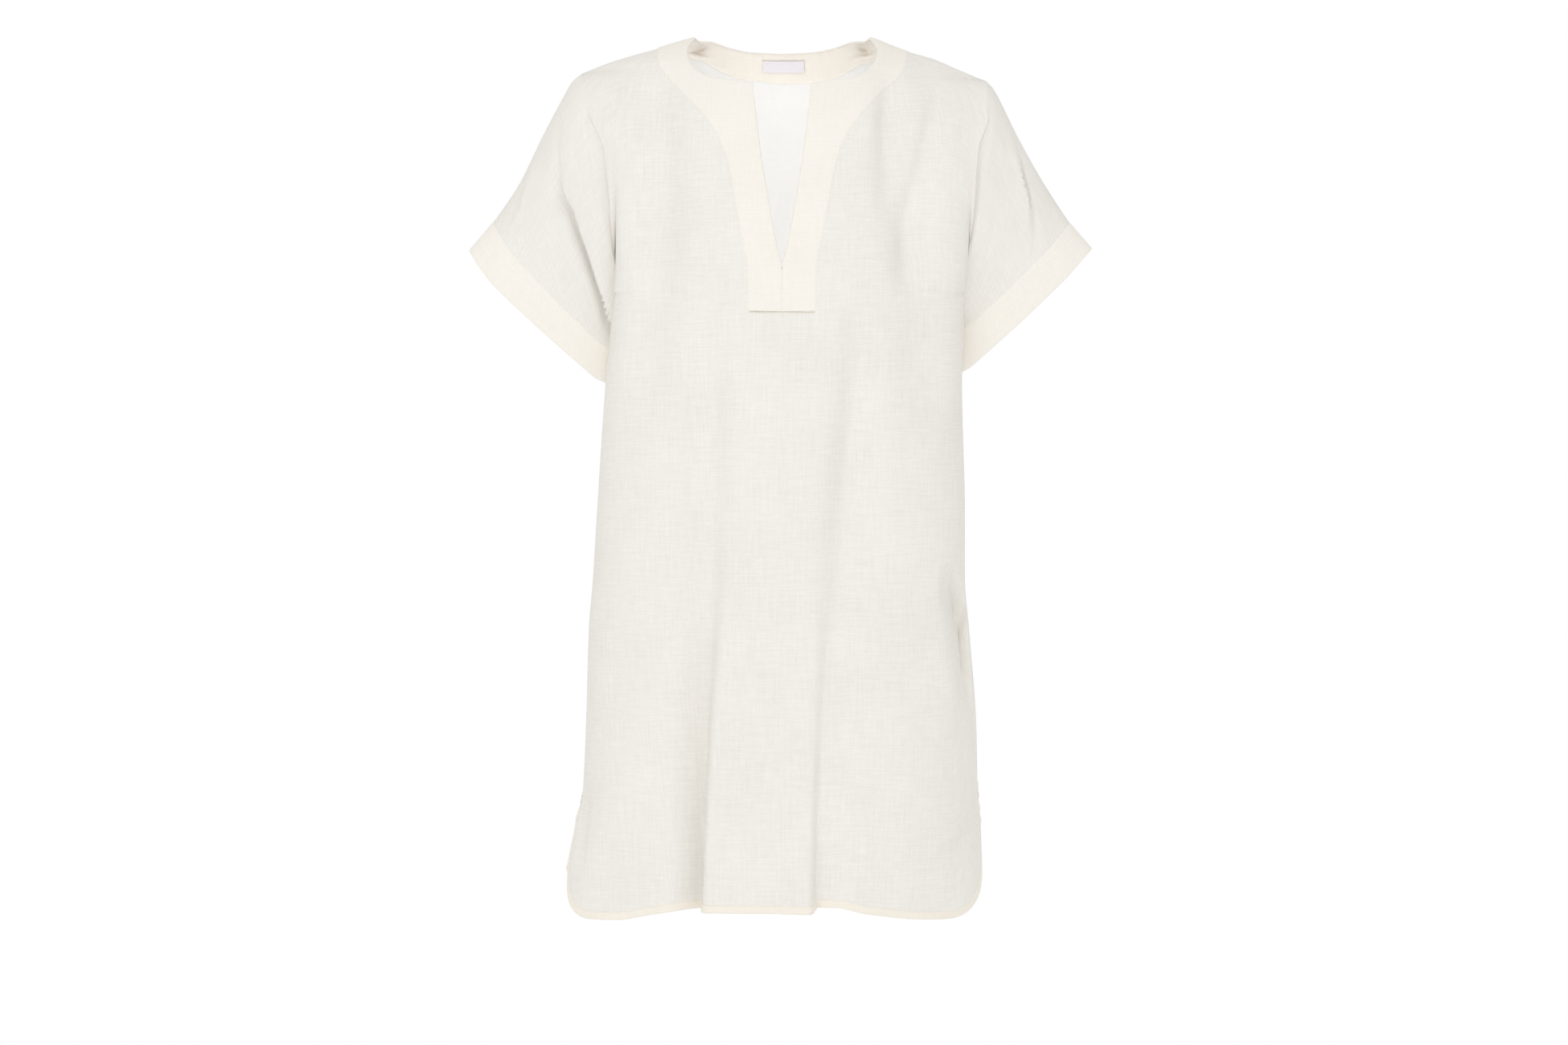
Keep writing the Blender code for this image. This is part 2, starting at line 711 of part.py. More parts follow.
def hem_edge(panel, side):
    """The panel's free edge, from the centre of the hem to the top of the vent.

    Each item is a point of the edge and the next point in from it."""
    shares, lifts = columns_of(panel, side)
    skirt = skirt_shares()
    last = len(shares) - 2

    def at(column, row):
        return skirt_point(panel, side, shares, lifts, column, skirt[row])

    foot = len(skirt) - 1
    edge = [(at(k, foot), at(k, foot - 1)) for k in range(last + 1)]
    return edge + [(at(last, row), at(last - 1, row)) for row in range(foot - 1, SKIRT_ROWS - 1, -1)]


def binding(panel):
    """Narrow tape along the hem and up both sides of the panel to the tops of the vents."""
    left, right = hem_edge(panel, "left"), hem_edge(panel, "right")
    edge = left[:0:-1] + right
    offsets = (SEAM_GAP, SEAM_GAP + BINDING_WIDTH)

    def place(line, station):
        point, inner = edge[station]
        before, after = edge[max(station - 1, 0)][0], edge[min(station + 1, len(edge) - 1)][0]
        along = (after - before).normalized()
        away = point - inner
        away = (away - along * away.dot(along)).normalized()
        made = point + away * offsets[line]
        if station in (0, len(edge) - 1):
            made.z -= BINDING_DROP
        made.y = FACE[panel] * max(made.y * FACE[panel], SEAM_GAP / 2)
        return made

    bm = bmesh.new()
    grid_points(bm, 1, len(edge) - 1, place)
    face_out(bm, Vector((0, FACE[panel], 0)))
    return bm


def main():
    for item in list(bpy.data.objects):
        bpy.data.objects.remove(item, do_unlink=True)
    inside = BAND_WALL - BAND_PROUD
    under = inside + 2 * SEAM_GAP
    # name: sheet, cloth, how far its faces lie out of the sheet and in from it
    pieces = {
        "front_panel": (panel_sheet("front"), "linen", 0.0, PANEL_WALL),
        "back_panel": (panel_sheet("back"), "linen", 0.0, PANEL_WALL),
        "neck_band_left": (front_band("left"), "doubled_linen", BAND_PROUD, inside),
        "neck_band_right": (front_band("right"), "doubled_linen", BAND_PROUD, inside),
        "neck_band_back": (back_band(), "doubled_linen", BAND_PROUD, inside),
        "cuff_left": (cuff("left"), "doubled_linen", BAND_PROUD, inside),
        "cuff_right": (cuff("right"), "doubled_linen", BAND_PROUD, inside),
        "hem_binding_front": (binding("front"), "binding", BAND_PROUD, PANEL_WALL + BAND_PROUD),
        "hem_binding_back": (binding("back"), "binding", BAND_PROUD, PANEL_WALL + BAND_PROUD),
        "neck_label": (label(), "label_satin", -under, under + LABEL_WALL),
    }
    join_normals([piece[0] for piece in pieces.values()])
    for name, (sheet, cloth, outward, inward) in pieces.items():
        thicken(sheet, outward, inward)
        finish(sheet, name, cloth)


main()
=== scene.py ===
# %% [markdown]
# # A linen mini dress, worn and hollow
#
# This is a straight tunic dress in pale linen. Its short kimono sleeves are cut in one with the
# body and end in turned cuffs. A shaped band of doubled cloth goes round the neck and down both
# sides of a narrow slit. The hem is a shirt tail: it has rounded corners, short vents at the
# sides and a narrow bias tape along its edge. A small satin label is sewn inside the back.
#
# The dress hangs as if somebody wore it, but nobody is in it, so each piece of cloth is a thin
# wall on the form that the body and the arms would give it. We follow the order in which such a
# dress is cut and sewn: the two panels, the bands, the cuffs, the tape, and then the label.

# %% The frame
import math
from bisect import bisect_right as bisect

import bmesh
import bpy
from mathutils import Matrix, Vector


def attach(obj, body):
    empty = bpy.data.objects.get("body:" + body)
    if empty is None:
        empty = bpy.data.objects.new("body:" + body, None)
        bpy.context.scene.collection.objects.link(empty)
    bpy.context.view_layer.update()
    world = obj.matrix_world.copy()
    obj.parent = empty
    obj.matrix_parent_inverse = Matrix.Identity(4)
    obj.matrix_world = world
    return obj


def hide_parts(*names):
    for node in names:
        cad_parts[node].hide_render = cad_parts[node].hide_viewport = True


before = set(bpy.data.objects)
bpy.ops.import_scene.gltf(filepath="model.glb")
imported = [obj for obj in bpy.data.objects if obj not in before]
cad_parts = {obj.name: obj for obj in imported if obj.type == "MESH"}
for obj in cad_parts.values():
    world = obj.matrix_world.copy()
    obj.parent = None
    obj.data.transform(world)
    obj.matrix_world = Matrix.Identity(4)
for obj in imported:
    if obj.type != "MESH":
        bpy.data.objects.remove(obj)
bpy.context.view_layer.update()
BODY = "root"

# %% [markdown]
# ## The camera
#
# A dress keeps its proportions when we look at it from far off with a long lens, level with its
# middle: its sides stay upright and nothing looks swollen. The dress faces -Y, so the camera
# stands on that side, 3.6 m away.

# %% The camera
CAMERA_DISTANCE = 3.6
CAMERA_HEIGHT = -0.494
LENS = 81.05
SENSOR = 36.0

camera_data = bpy.data.cameras.new("camera")
camera_data.lens = LENS
camera_data.sensor_width = SENSOR
camera = bpy.data.objects.new("camera", camera_data)
camera.location = (0.0, -CAMERA_DISTANCE, CAMERA_HEIGHT)
camera.rotation_euler = (math.radians(90), 0.0, 0.0)
bpy.context.scene.collection.objects.link(camera)
bpy.context.scene.camera = camera
print("a level camera at", tuple(camera.location))

# %% [markdown]
# ## The studio
#
# White cloth on a white ground keeps its shape only by small differences of light. The room is
# therefore a white glow that is weaker at the sides, above and below than in front and behind,
# so the cloth shades off where it turns away. A large soft lamp in front, a little to the left,
# gives the folds their brighter and darker sides, and a weaker one fills the right. A third lamp
# hangs in the hollow body and lights the inside of the back, which shows in the neck. The camera
# sees the room as pure white, whatever its glow.

# %% The room
SIDE_GLOW = 0.76  # the glow of the walls at both sides, above and below
FACE_GLOW = 1.265  # and of the walls in front and behind

world = bpy.data.worlds.new("white room")
world.use_nodes = True
room = world.node_tree
glow = room.nodes["Background"]
glow.inputs["Color"].default_value = (1.0, 1.0, 1.0, 1.0)
way = room.nodes.new("ShaderNodeTexCoord")
parts = room.nodes.new("ShaderNodeSeparateXYZ")
square = room.nodes.new("ShaderNodeMath")
square.operation = "MULTIPLY"
walls = room.nodes.new("ShaderNodeMapRange")
walls.inputs["To Min"].default_value = SIDE_GLOW
walls.inputs["To Max"].default_value = FACE_GLOW
walls.clamp = False
path = room.nodes.new("ShaderNodeLightPath")
seen = room.nodes.new("ShaderNodeMix")
seen.inputs["B"].default_value = 1.0
room.links.new(way.outputs["Generated"], parts.inputs[0])
room.links.new(parts.outputs["Y"], square.inputs[0])
room.links.new(parts.outputs["Y"], square.inputs[1])
room.links.new(square.outputs[0], walls.inputs["Value"])
room.links.new(path.outputs["Is Camera Ray"], seen.inputs["Factor"])
room.links.new(walls.outputs["Result"], seen.inputs["A"])
room.links.new(seen.outputs["Result"], glow.inputs["Strength"])
bpy.context.scene.world = world
bpy.context.scene.view_settings.view_transform = "Standard"
print("the room glows", round(FACE_GLOW / SIDE_GLOW, 2), "times as much in front as at the sides")

# %% The lamps


def lamp(name, place, target, width, height, power):
    """A soft lamp that looks at a point."""
    data = bpy.data.lights.new(name, "AREA")
    data.shape = "RECTANGLE"
    data.size = width
    data.size_y = height
    data.energy = power
    made = bpy.data.objects.new(name, data)
    made.location = place
    made.rotation_mode = "QUATERNION"
    made.rotation_quaternion = (Vector(target) - Vector(place)).to_track_quat("-Z", "Y")
    bpy.context.scene.collection.objects.link(made)
    return made


MIDDLE = (0.0, 0.0, -0.45)
CHEST = (-0.01, -0.03, -0.335)  # the inside lamp hangs here and looks straight back
BEHIND_CHEST = (-0.01, 1.0, -0.335)
lamp("key lamp", (-2.2, -3.2, 0.9), MIDDLE, width=1.8, height=1.8, power=12.0)
lamp("fill lamp", (2.4, -3.0, 0.4), MIDDLE, width=1.8, height=1.8, power=1.9)
inside = lamp("inside lamp", CHEST, BEHIND_CHEST, width=0.17, height=0.62, power=0.345)
inside.data.color = (0.93, 0.965, 0.99)
inside.visible_camera = False

# %% The floor
FLOOR_LEVEL = -1.45
FLOOR_RADIUS = 2.6
FLOOR_GLOW = 0.12

floor_mesh = bmesh.new()
bmesh.ops.create_circle(floor_mesh, cap_ends=True, segments=96, radius=FLOOR_RADIUS)
for vert in floor_mesh.verts:
    vert.co.z = FLOOR_LEVEL
floor_data = bpy.data.meshes.new("studio_floor")
floor_mesh.to_mesh(floor_data)
floor_mesh.free()
floor = bpy.data.objects.new("studio_floor", floor_data)
paint = bpy.data.materials.new("studio_floor")
paint.use_nodes = True
paint_shader = paint.node_tree.nodes["Principled BSDF"]
paint_shader.inputs["Base Color"].default_value = (0.9, 0.9, 0.9, 1.0)
paint_shader.inputs["Roughness"].default_value = 1.0
paint_shader.inputs["Emission Color"].default_value = (1.0, 1.0, 1.0, 1.0)
paint_shader.inputs["Emission Strength"].default_value = FLOOR_GLOW
floor_data.materials.append(paint)
bpy.context.scene.collection.objects.link(floor)

# %% [markdown]
# ## The form under the cloth
#
# The dress has no straight line that a box could start from: the body is a rounded tube whose
# width and depth change on the way down, and each sleeve is a flattened tube that leaves it at
# a slant. A table holds each measure at a few heights, and a smooth curve runs through
# the rows. One function then answers the question "where is the cloth at this distance from the
# centre and at this height?", and every piece of the body asks it.

# %% Tables and curves
HAND = {"left": -1, "right": 1}  # as seen from in front
FACE = {"front": -1, "back": 1}
CENTRE = -0.002  # the placket hangs a little to the left

ARMPIT = -0.264
PLACKET_FOOT = -0.285
PLACKET_HALF = 0.0328
SLIT_FOOT = -0.2394
VENT_TOP = -0.768
VENT_FULL = -0.880  # where the vent's sides are furthest apart
HEM_LEVEL = -0.878
CORNER = {"left": 0.043, "right": 0.053}  # the radii of the hem's corners


def table(columns, *rows):
    """A short table as a dictionary: the name of each column and its values."""
    return {name: [row[k] for row in rows] for k, name in enumerate(columns.split())}


def slope(keys, values, k):
    """The tangent of a table's curve at row k, flat at a turning point."""
    if k in (0, len(keys) - 1):
        near = 1 if k == 0 else k - 1
        return (values[k] - values[near]) / (keys[k] - keys[near])
    before = (values[k] - values[k - 1]) / (keys[k] - keys[k - 1])
    after = (values[k + 1] - values[k]) / (keys[k + 1] - keys[k])
    return 0.0 if before * after <= 0 else 2 * before * after / (before + after)


SLOPES = {}  # the tangents of each column, worked out when it is first read


def read(tab, key, column, at):
    """The value of a column on a smooth curve through the table's rows."""
    keys, values = tab[key], tab[column]
    if at <= keys[0]:
        return values[0]
    if at >= keys[-1]:
        return values[-1]
    slopes = SLOPES.get(id(values))
    if slopes is None:
        slopes = SLOPES[id(values)] = [slope(keys, values, k) for k in range(len(keys))]
    k = bisect(keys, at) - 1
    step = keys[k + 1] - keys[k]
    t = (at - keys[k]) / step
    start, end = slopes[k] * step, slopes[k + 1] * step
    rise = values[k + 1] - values[k]
    return values[k] + t * (start + t * (3 * rise - 2 * start - end + t * (start + end - 2 * rise)))


def mix(a, b, t):
    """A share of the way from a to b."""
    return a + (b - a) * t


def ease(t):
    """0 to 1, level at both ends."""
    t = min(max(t, 0.0), 1.0)
    return t * t * (3 - 2 * t)


print("half a step along an eased line is", ease(0.5))

# %% [markdown]
# ## The measures
#
# Heights are counted from the neck's shoulder points, and lengths are in metres. A dress that
# hangs on somebody isn't the same on both sides, so most tables have a column for the left and
# one for the right.

# %% The body's measures
# The half widths by height, the depths from the seams' plane to the front and to the back, and
# how square the section is: 1 is an ellipse, and less is squarer.
WIDTH = table(
    "z left right",
    (-0.900, 0.2190, 0.1975),
    (-0.846, 0.2175, 0.1995),
    (-0.797, 0.2105, 0.1990),
    (-0.768, 0.2045, 0.1970),
    (-0.700, 0.2010, 0.1955),
    (-0.600, 0.1980, 0.1880),
    (-0.551, 0.1940, 0.1840),
    (-0.485, 0.1900, 0.1840),
    (-0.350, 0.1810, 0.1810),
    (-0.300, 0.1765, 0.1835),
    (-0.264, 0.1735, 0.1840),
    (-0.227, 0.1697, 0.1855),
    (-0.176, 0.1690, 0.1873),
    (-0.118, 0.1755, 0.1920),
    (-0.084, 0.1915, 0.2035),
    (-0.035, 0.2060, 0.2060),
)
DEPTH = table(
    "z front back square",
    (-0.890, 0.140, 0.136, 0.90),
    (-0.760, 0.134, 0.128, 0.66),
    (-0.620, 0.124, 0.114, 0.62),
    (-0.480, 0.117, 0.099, 0.62),
    (-0.360, 0.118, 0.095, 0.62),
    (-0.270, 0.120, 0.099, 0.64),
    (-0.200, 0.114, 0.102, 0.70),
    (-0.120, 0.103, 0.098, 0.85),
    (-0.055, 0.089, 0.087, 1.10),
    (0.020, 0.078, 0.074, 1.30),
)
# The shoulder line: its height by distance from the centre. The cloth is rounded over it.
RIDGE = table(
    "x left right",
    (0.0000, 0.0115, 0.0115),
    (0.0450, 0.0105, 0.0105),
    (0.0700, 0.0060, 0.0060),
    (0.0885, 0.0004, 0.0004),
    (0.0980, -0.0022, -0.0028),
    (0.1100, -0.0055, -0.0078),
    (0.1300, -0.0118, -0.0148),
    (0.1520, -0.0176, -0.0210),
    (0.1760, -0.0247, -0.0310),
    (0.2060, -0.0364, -0.0440),
)
ROUNDING = {"front": 0.110, "back": 0.090}  # the height over which the cloth turns to the ridge
ROUND_POWER = 2.2
SIDE_POWER = 2.0
print("the body is", round(WIDTH["left"][0] + WIDTH["right"][0], 3), "m wide at the hem")

# %% The neck's measures
# CUT_OUT is the front panel's edge beside the placket, and NECK_EDGE both panels' edge round the
# neck, by the share of the way from the front or the back to the shoulder. NECKLINE and SLIT are
# the folded edges of the bands.
CUT_OUT = table(
    "z half",
    (-0.2850, 0.0328),
    (-0.2480, 0.0332),
    (-0.2240, 0.0361),
    (-0.2060, 0.0402),
    (-0.1780, 0.0454),
    (-0.1490, 0.0506),
    (-0.1266, 0.0560),
    (-0.1075, 0.0640),
)
NECK_EDGE = {
    "front": table(
        "t x z",
        (0.00, 0.0640, -0.1075),
        (0.25, 0.0780, -0.0865),
        (0.50, 0.0985, -0.0655),
        (0.75, 0.1170, -0.0460),
        (0.90, 0.1245, -0.0300),
        (1.00, 0.1270, -0.0105),
    ),
    "back": table(
        "t x z",
        (0.00, 0.0000, -0.0365),
        (0.40, 0.0490, -0.0312),
        (0.53, 0.0646, -0.0253),
        (0.67, 0.0820, -0.0175),
        (0.85, 0.1075, -0.0132),
        (1.00, 0.1270, -0.0105),
    ),
}
NECKLINE = {
    "front": table(
        "t x z",
        (0.00, 0.0293, -0.0552),
        (0.18, 0.0430, -0.0527),
        (0.40, 0.0630, -0.0502),
        (0.58, 0.0775, -0.0464),
        (0.70, 0.0865, -0.0398),
        (0.80, 0.0930, -0.0300),
        (0.90, 0.0960, -0.0175),
        (1.00, 0.0885, 0.0004),
    ),
    "back": table(
        "t x z",
        (0.00, 0.0000, -0.0087),
        (0.35, 0.0320, -0.0074),
        (0.60, 0.0560, -0.0034),
        (0.80, 0.0740, 0.0004),
        (1.00, 0.0885, 0.0004),
    ),
}
SLIT = table(
    "z half",
    (-0.2394, 0.0000),
    (-0.2200, 0.0050),
    (-0.1970, 0.0094),
    (-0.1580, 0.0160),
    (-0.1350, 0.0199),
    (-0.0552, 0.0293),
)
print("the slit is", round(SLIT["z"][-1] - SLIT["z"][0], 3), "m long")

# %% The hem's measures
# Its level by distance from the centre; the panels' corners are cut away from it later.
HEM = table(
    "x left right",
    (0.000, -0.8710, -0.8715),
    (0.030, -0.8712, -0.8722),
    (0.037, -0.8713, -0.8668),
    (0.055, -0.8712, -0.8665),
    (0.084, -0.8716, -0.8728),
    (0.092, -0.8692, -0.8740),
    (0.130, -0.8745, -0.8795),
    (0.165, -0.8815, -0.8815),
    (0.215, -0.8835, -0.8800),
)
print("the hem lies between", max(HEM["left"]), "and", min(HEM["left"]), "m on the left")

# %% The sleeves' measures
# Along is 0 at the armhole, 1 at the cuff's seam and 2 at its edge.
OVERARM = table(
    "along left_x left_z right_x right_z",
    (0.00, 0.2060, -0.0364, 0.2060, -0.0440),
    (0.05, 0.2132, -0.0418, 0.2120, -0.0500),
    (0.10, 0.2186, -0.0483, 0.2164, -0.0568),
    (0.15, 0.2225, -0.0553, 0.2197, -0.0632),
    (0.45, 0.2460, -0.1000, 0.2415, -0.1070),
    (0.75, 0.2700, -0.1490, 0.2660, -0.1500),
    (1.00, 0.2975, -0.1890, 0.2925, -0.1900),
    (2.00, 0.3210, -0.2170, 0.3140, -0.2150),
)
UNDERARM = table(
    "along left_x left_z right_x right_z",
    (0.00, 0.1735, -0.2640, 0.1840, -0.2640),
    (0.30, 0.1785, -0.2790, 0.1860, -0.2750),
    (1.00, 0.1840, -0.3155, 0.1885, -0.2960),
    (2.00, 0.1855, -0.3520, 0.1850, -0.3420),
)
ARMHOLE_TOP = {"left": -0.0364, "right": -0.044}
SLEEVE_DEPTH = table(
    "along front back",
    (0.00, 0.058, 0.056),
    (1.00, 0.036, 0.036),
    (2.00, 0.031, 0.031),
)
OVERARM_ROUND = 0.42
UNDERARM_ROUND = 0.40
SLEEVE_BOW = table(
    "around left right",
    (0.00, 0.0000, 0.0000),
    (0.12, 0.0050, 0.0015),
    (0.26, 0.0075, 0.0030),
    (0.55, 0.0060, 0.0025),
    (0.85, 0.0035, 0.0012),
    (1.00, 0.0000, 0.0000),
)
BOW_POWER = 1.5
BACK_BOW = 0.5  # the back's bow, as a share of the front's
VENT_SPREAD = 0.040  # how far each panel's edge stands from the seams' plane at the hem
print("the left sleeve reaches", max(OVERARM["left_x"]), "m from the middle")

# %% [markdown]
# ## The folds
#
# Linen is stiff, so it falls in a few long, shallow folds, and breaks into a sharp line only where
# one lobe of cloth lies over the next. A trough is a soft valley, given by the line of its floor
# and by how fast the cloth rises on either side: where one side rises much faster, it looks like
# the edge of a lobe.

# %% The front's troughs
# Each trough is a table by height: where its floor runs, how deep it is, and how far it reaches
# towards smaller x and larger x. Its hold says how close to the side seam it may come.
FOLD_HOLD = 6
CREASE_HOLD = 60
TROUGH_REACH = 2.6  # the widths from its floor beyond which a trough is no longer felt


def trough(*rows, hold=FOLD_HOLD):
    """A trough's table, with how it holds off from the side seam."""
    return {"hold": hold, **table("z x depth low high", *rows)}


FOLDS = {"front": [], "back": []}
FOLDS["front"] += [
    # the long folds at both sides of the middle
    trough(
        (-0.900, -0.0935, 0.0275, 0.015, 0.0072),
        (-0.863, -0.0910, 0.0275, 0.015, 0.0072),
        (-0.796, -0.0885, 0.0260, 0.016, 0.0075),
        (-0.689, -0.0845, 0.021, 0.021, 0.0095),
        (-0.615, -0.0800, 0.017, 0.024, 0.0120),
        (-0.500, -0.0790, 0.014, 0.026, 0.0200),
        (-0.420, -0.0790, 0.015, 0.028, 0.0220),
        (-0.330, -0.0770, 0.010, 0.028, 0.0240),
        (-0.270, -0.0750, 0.004, 0.026, 0.0240),
        (-0.200, -0.0740, 0.000, 0.026, 0.0240),
    ),
    trough(
        (-0.900, 0.0345, 0.0140, 0.0050, 0.022),
        (-0.863, 0.0345, 0.0135, 0.0050, 0.022),
        (-0.796, 0.0352, 0.0095, 0.0052, 0.024),
        (-0.729, 0.0372, 0.0070, 0.0055, 0.028),
        (-0.650, 0.0415, 0.0048, 0.0060, 0.030),
        (-0.560, 0.0470, 0.0000, 0.0070, 0.030),
    ),
    trough(
        (-0.700, 0.0540, 0.000, 0.018, 0.028),
        (-0.600, 0.0570, 0.010, 0.020, 0.026),
        (-0.500, 0.0650, 0.014, 0.022, 0.024),
        (-0.420, 0.0710, 0.014, 0.020, 0.022),
        (-0.350, 0.0750, 0.010, 0.018, 0.020),
        (-0.270, 0.0760, 0.000, 0.018, 0.020),
    ),
    # where the cloth falls in from the shoulders
    trough(
        (-0.230, -0.142, 0.000, 0.022, 0.034),
        (-0.150, -0.142, 0.013, 0.022, 0.034),
        (-0.100, -0.139, 0.018, 0.022, 0.032),
        (-0.060, -0.137, 0.012, 0.020, 0.030),
        (-0.030, -0.135, 0.000, 0.020, 0.026),
    ),
    trough(
        (-0.440, -0.148, 0.000, 0.026, 0.036),
        (-0.300, -0.143, 0.016, 0.023, 0.034),
        (-0.200, -0.137, 0.019, 0.020, 0.032),
        (-0.085, -0.134, 0.000, 0.018, 0.030),
    ),
    trough(
        (-0.220, 0.108, 0.000, 0.016, 0.022),
        (-0.140, 0.108, 0.011, 0.016, 0.022),
        (-0.095, 0.108, 0.013, 0.015, 0.020),
        (-0.060, 0.108, 0.007, 0.014, 0.018),
        (-0.035, 0.108, 0.000, 0.014, 0.018),
    ),
    trough(
        (-0.280, 0.126, 0.000, 0.016, 0.016),
        (-0.200, 0.132, 0.012, 0.016, 0.014),
        (-0.140, 0.143, 0.013, 0.014, 0.012),
        (-0.065, 0.156, 0.006, 0.012, 0.011),
        (-0.045, 0.158, 0.000, 0.012, 0.011),
    ),
    trough(
        (-0.440, 0.150, 0.000, 0.034, 0.024),
        (-0.300, 0.147, 0.014, 0.032, 0.024),
        (-0.220, 0.142, 0.013, 0.030, 0.024),
        (-0.140, 0.140, 0.000, 0.026, 0.024),
    ),
    # creases over both vents
    trough(
        (-0.850, -0.2075, 0.000, 0.004, 0.007),
        (-0.820, -0.2055, 0.005, 0.004, 0.007),
        (-0.785, -0.2025, 0.005, 0.004, 0.007),
        (-0.750, -0.2000, 0.000, 0.004, 0.007),
        hold=CREASE_HOLD,
    ),
    trough(
        (-0.830, 0.1660, 0.000, 0.010, 0.005),
        (-0.815, 0.1760, 0.0022, 0.010, 0.005),
        (-0.795, 0.1920, 0.0028, 0.009, 0.004),
        (-0.785, 0.1980, 0.000, 0.008, 0.004),
        hold=CREASE_HOLD,
    ),
]
print(len(FOLDS["front"]), "troughs in front")

# %% The back's troughs
FOLDS["back"] += [
    # the long folds of the skirt
    trough(
        (-0.900, -0.100, 0.025, 0.024, 0.010),
        (-0.780, -0.090, 0.021, 0.024, 0.011),
        (-0.620, -0.077, 0.015, 0.026, 0.017),
        (-0.430, -0.068, 0.008, 0.030, 0.024),
        (-0.300, -0.062, 0.000, 0.030, 0.026),
    ),
    trough(
        (-0.900, 0.024, 0.016, 0.006, 0.026),
        (-0.780, 0.020, 0.012, 0.008, 0.026),
        (-0.640, 0.015, 0.008, 0.014, 0.024),
        (-0.480, 0.012, 0.000, 0.020, 0.024),
    ),
    trough(
        (-0.900, 0.124, 0.022, 0.012, 0.028),
        (-0.760, 0.113, 0.018, 0.014, 0.026),
        (-0.600, 0.101, 0.013, 0.020, 0.026),
        (-0.440, 0.092, 0.007, 0.024, 0.026),
        (-0.320, 0.086, 0.000, 0.024, 0.026),
    ),
    # beside the shoulder blades
    trough(
        (-0.400, -0.138, 0.000, 0.018, 0.022),
        (-0.220, -0.143, 0.015, 0.013, 0.022),
        (-0.060, -0.150, 0.000, 0.014, 0.022),
    ),
    trough(
        (-0.360, 0.144, 0.000, 0.022, 0.018),
        (-0.210, 0.149, 0.014, 0.022, 0.013),
        (-0.060, 0.156, 0.000, 0.022, 0.014),
    ),
    # over the left hip
    trough(
        (-0.740, -0.1990, 0.000, 0.0055, 0.014),
        (-0.640, -0.1900, 0.014, 0.0060, 0.014),
        (-0.560, -0.1820, 0.010, 0.0070, 0.014),
        (-0.480, -0.1760, 0.000, 0.0080, 0.014),
        hold=CREASE_HOLD,
    ),
]
print(len(FOLDS["back"]), "troughs behind")

# %% The folds together


def fold_height(panel, x, z, sine):
    """How far the folds push the cloth in at x, z; sine is 0 at the centre and 1 at the side."""
    cosine = math.sqrt(max(1 - sine * sine, 0.0))
    total = 0.0
    for fold in FOLDS[panel]:
        if not fold["z"][0] < z < fold["z"][-1]:
            continue
        away = x - read(fold, "z", "x", z)
        width = read(fold, "z", "high" if away > 0 else "low", z)
        if abs(away) > TROUGH_REACH * width:
            continue
        swell = math.exp(-((away / width) ** 2)) * (1 - sine ** fold["hold"])
        swell *= cosine ** (FOLD_HOLD / fold["hold"])
        total -= read(fold, "z", "depth", z) * swell
    return total


print("at the hem's middle the folds reach", round(fold_height("front", 0.0, -0.87, 0.0), 4), "m in")

# %% [markdown]
# ## One lobe over the next
#
# At the right side the front lobe ends in a rounded edge, and a smaller lobe shows behind it. A
# trough can't do that, because the cloth comes back to the same form on both of its sides. Here
# the depth itself steps back: behind a slanting line the cloth lies at the depth of the smaller
# lobe, or deeper above its border, with a narrow gutter along the line.

# %% The lapped lobe
LAPPED = table(
    "z line hold",
    (-0.692, 0.1860, 0.0),
    (-0.668, 0.1822, 0.5),
    (-0.650, 0.1792, 0.8),
    (-0.630, 0.1764, 1.0),
    (-0.609, 0.1738, 1.0),
    (-0.592, 0.1712, 1.0),
    (-0.579, 0.1685, 1.0),
    (-0.563, 0.1655, 0.7),
    (-0.535, 0.1640, 0.0),
)
LAPPED_TURN = 0.013  # how far from its edge the front lobe begins to turn
LAPPED_EDGE = 0.049  # the depth of that edge
LOBE_BEHIND = 0.039  # the depth of the smaller lobe
LOBE_HOLLOW = 0.0352  # and of the hollow above it
LOBE_TOP = (0.1835, -0.571)  # a point of the lobe's border, by its half width and its height
LOBE_SLANT = 4.3  # how steeply the border rises
LOBE_FADE = 0.026
GUTTER_WIDTH = 0.0022
GUTTER_DEPTH = 0.0018


def lapped(half, z, depth):
    """The depth of the front's face at the right side, where the lobe behind shows."""
    if not LAPPED["z"][0] < z < LAPPED["z"][-1]:
        return depth
    past = half - read(LAPPED, "z", "line", z)
    hold = read(LAPPED, "z", "hold", z)
    depth -= max(depth - LAPPED_EDGE, 0.0) * ease(past / LAPPED_TURN + 1) ** 2 * hold
    border = LOBE_TOP[1] - (LOBE_TOP[0] - half) * LOBE_SLANT
    behind = mix(LOBE_HOLLOW, LOBE_BEHIND, ease((border - z) / LOBE_FADE))
    behind -= GUTTER_DEPTH * math.exp(-((past / GUTTER_WIDTH - 1) ** 2))
    return mix(depth, min(depth, behind), ease(past / GUTTER_WIDTH + 0.5) * hold)


print("the lobe's edge runs over", round(LAPPED["z"][-1] - LAPPED["z"][0], 3), "m")

# %% [markdown]
# ## The body's surface
#
# This is the function that the other steps ask. A level cut through the body is a rounded
# rectangle from the side's width and the front's or the back's depth; near the shoulders the
# depth goes over the ridge to nothing; and the folds push it in.

# %% The body's surface


def round_over(t):
    """0 to 1 along a quarter of a superellipse, upright at 0."""
    t = min(max(t, 0.0), 1.0)
    return (1 - (1 - t) ** ROUND_POWER) ** (1 / ROUND_POWER)


def sleeve_swell(around):
    """The section of a sleeve, 0 at both seams: rounded above and squarer under the arm."""
    power = mix(OVERARM_ROUND, UNDERARM_ROUND, ease(around))
    return max(math.sin(math.pi * around), 0.0) ** power


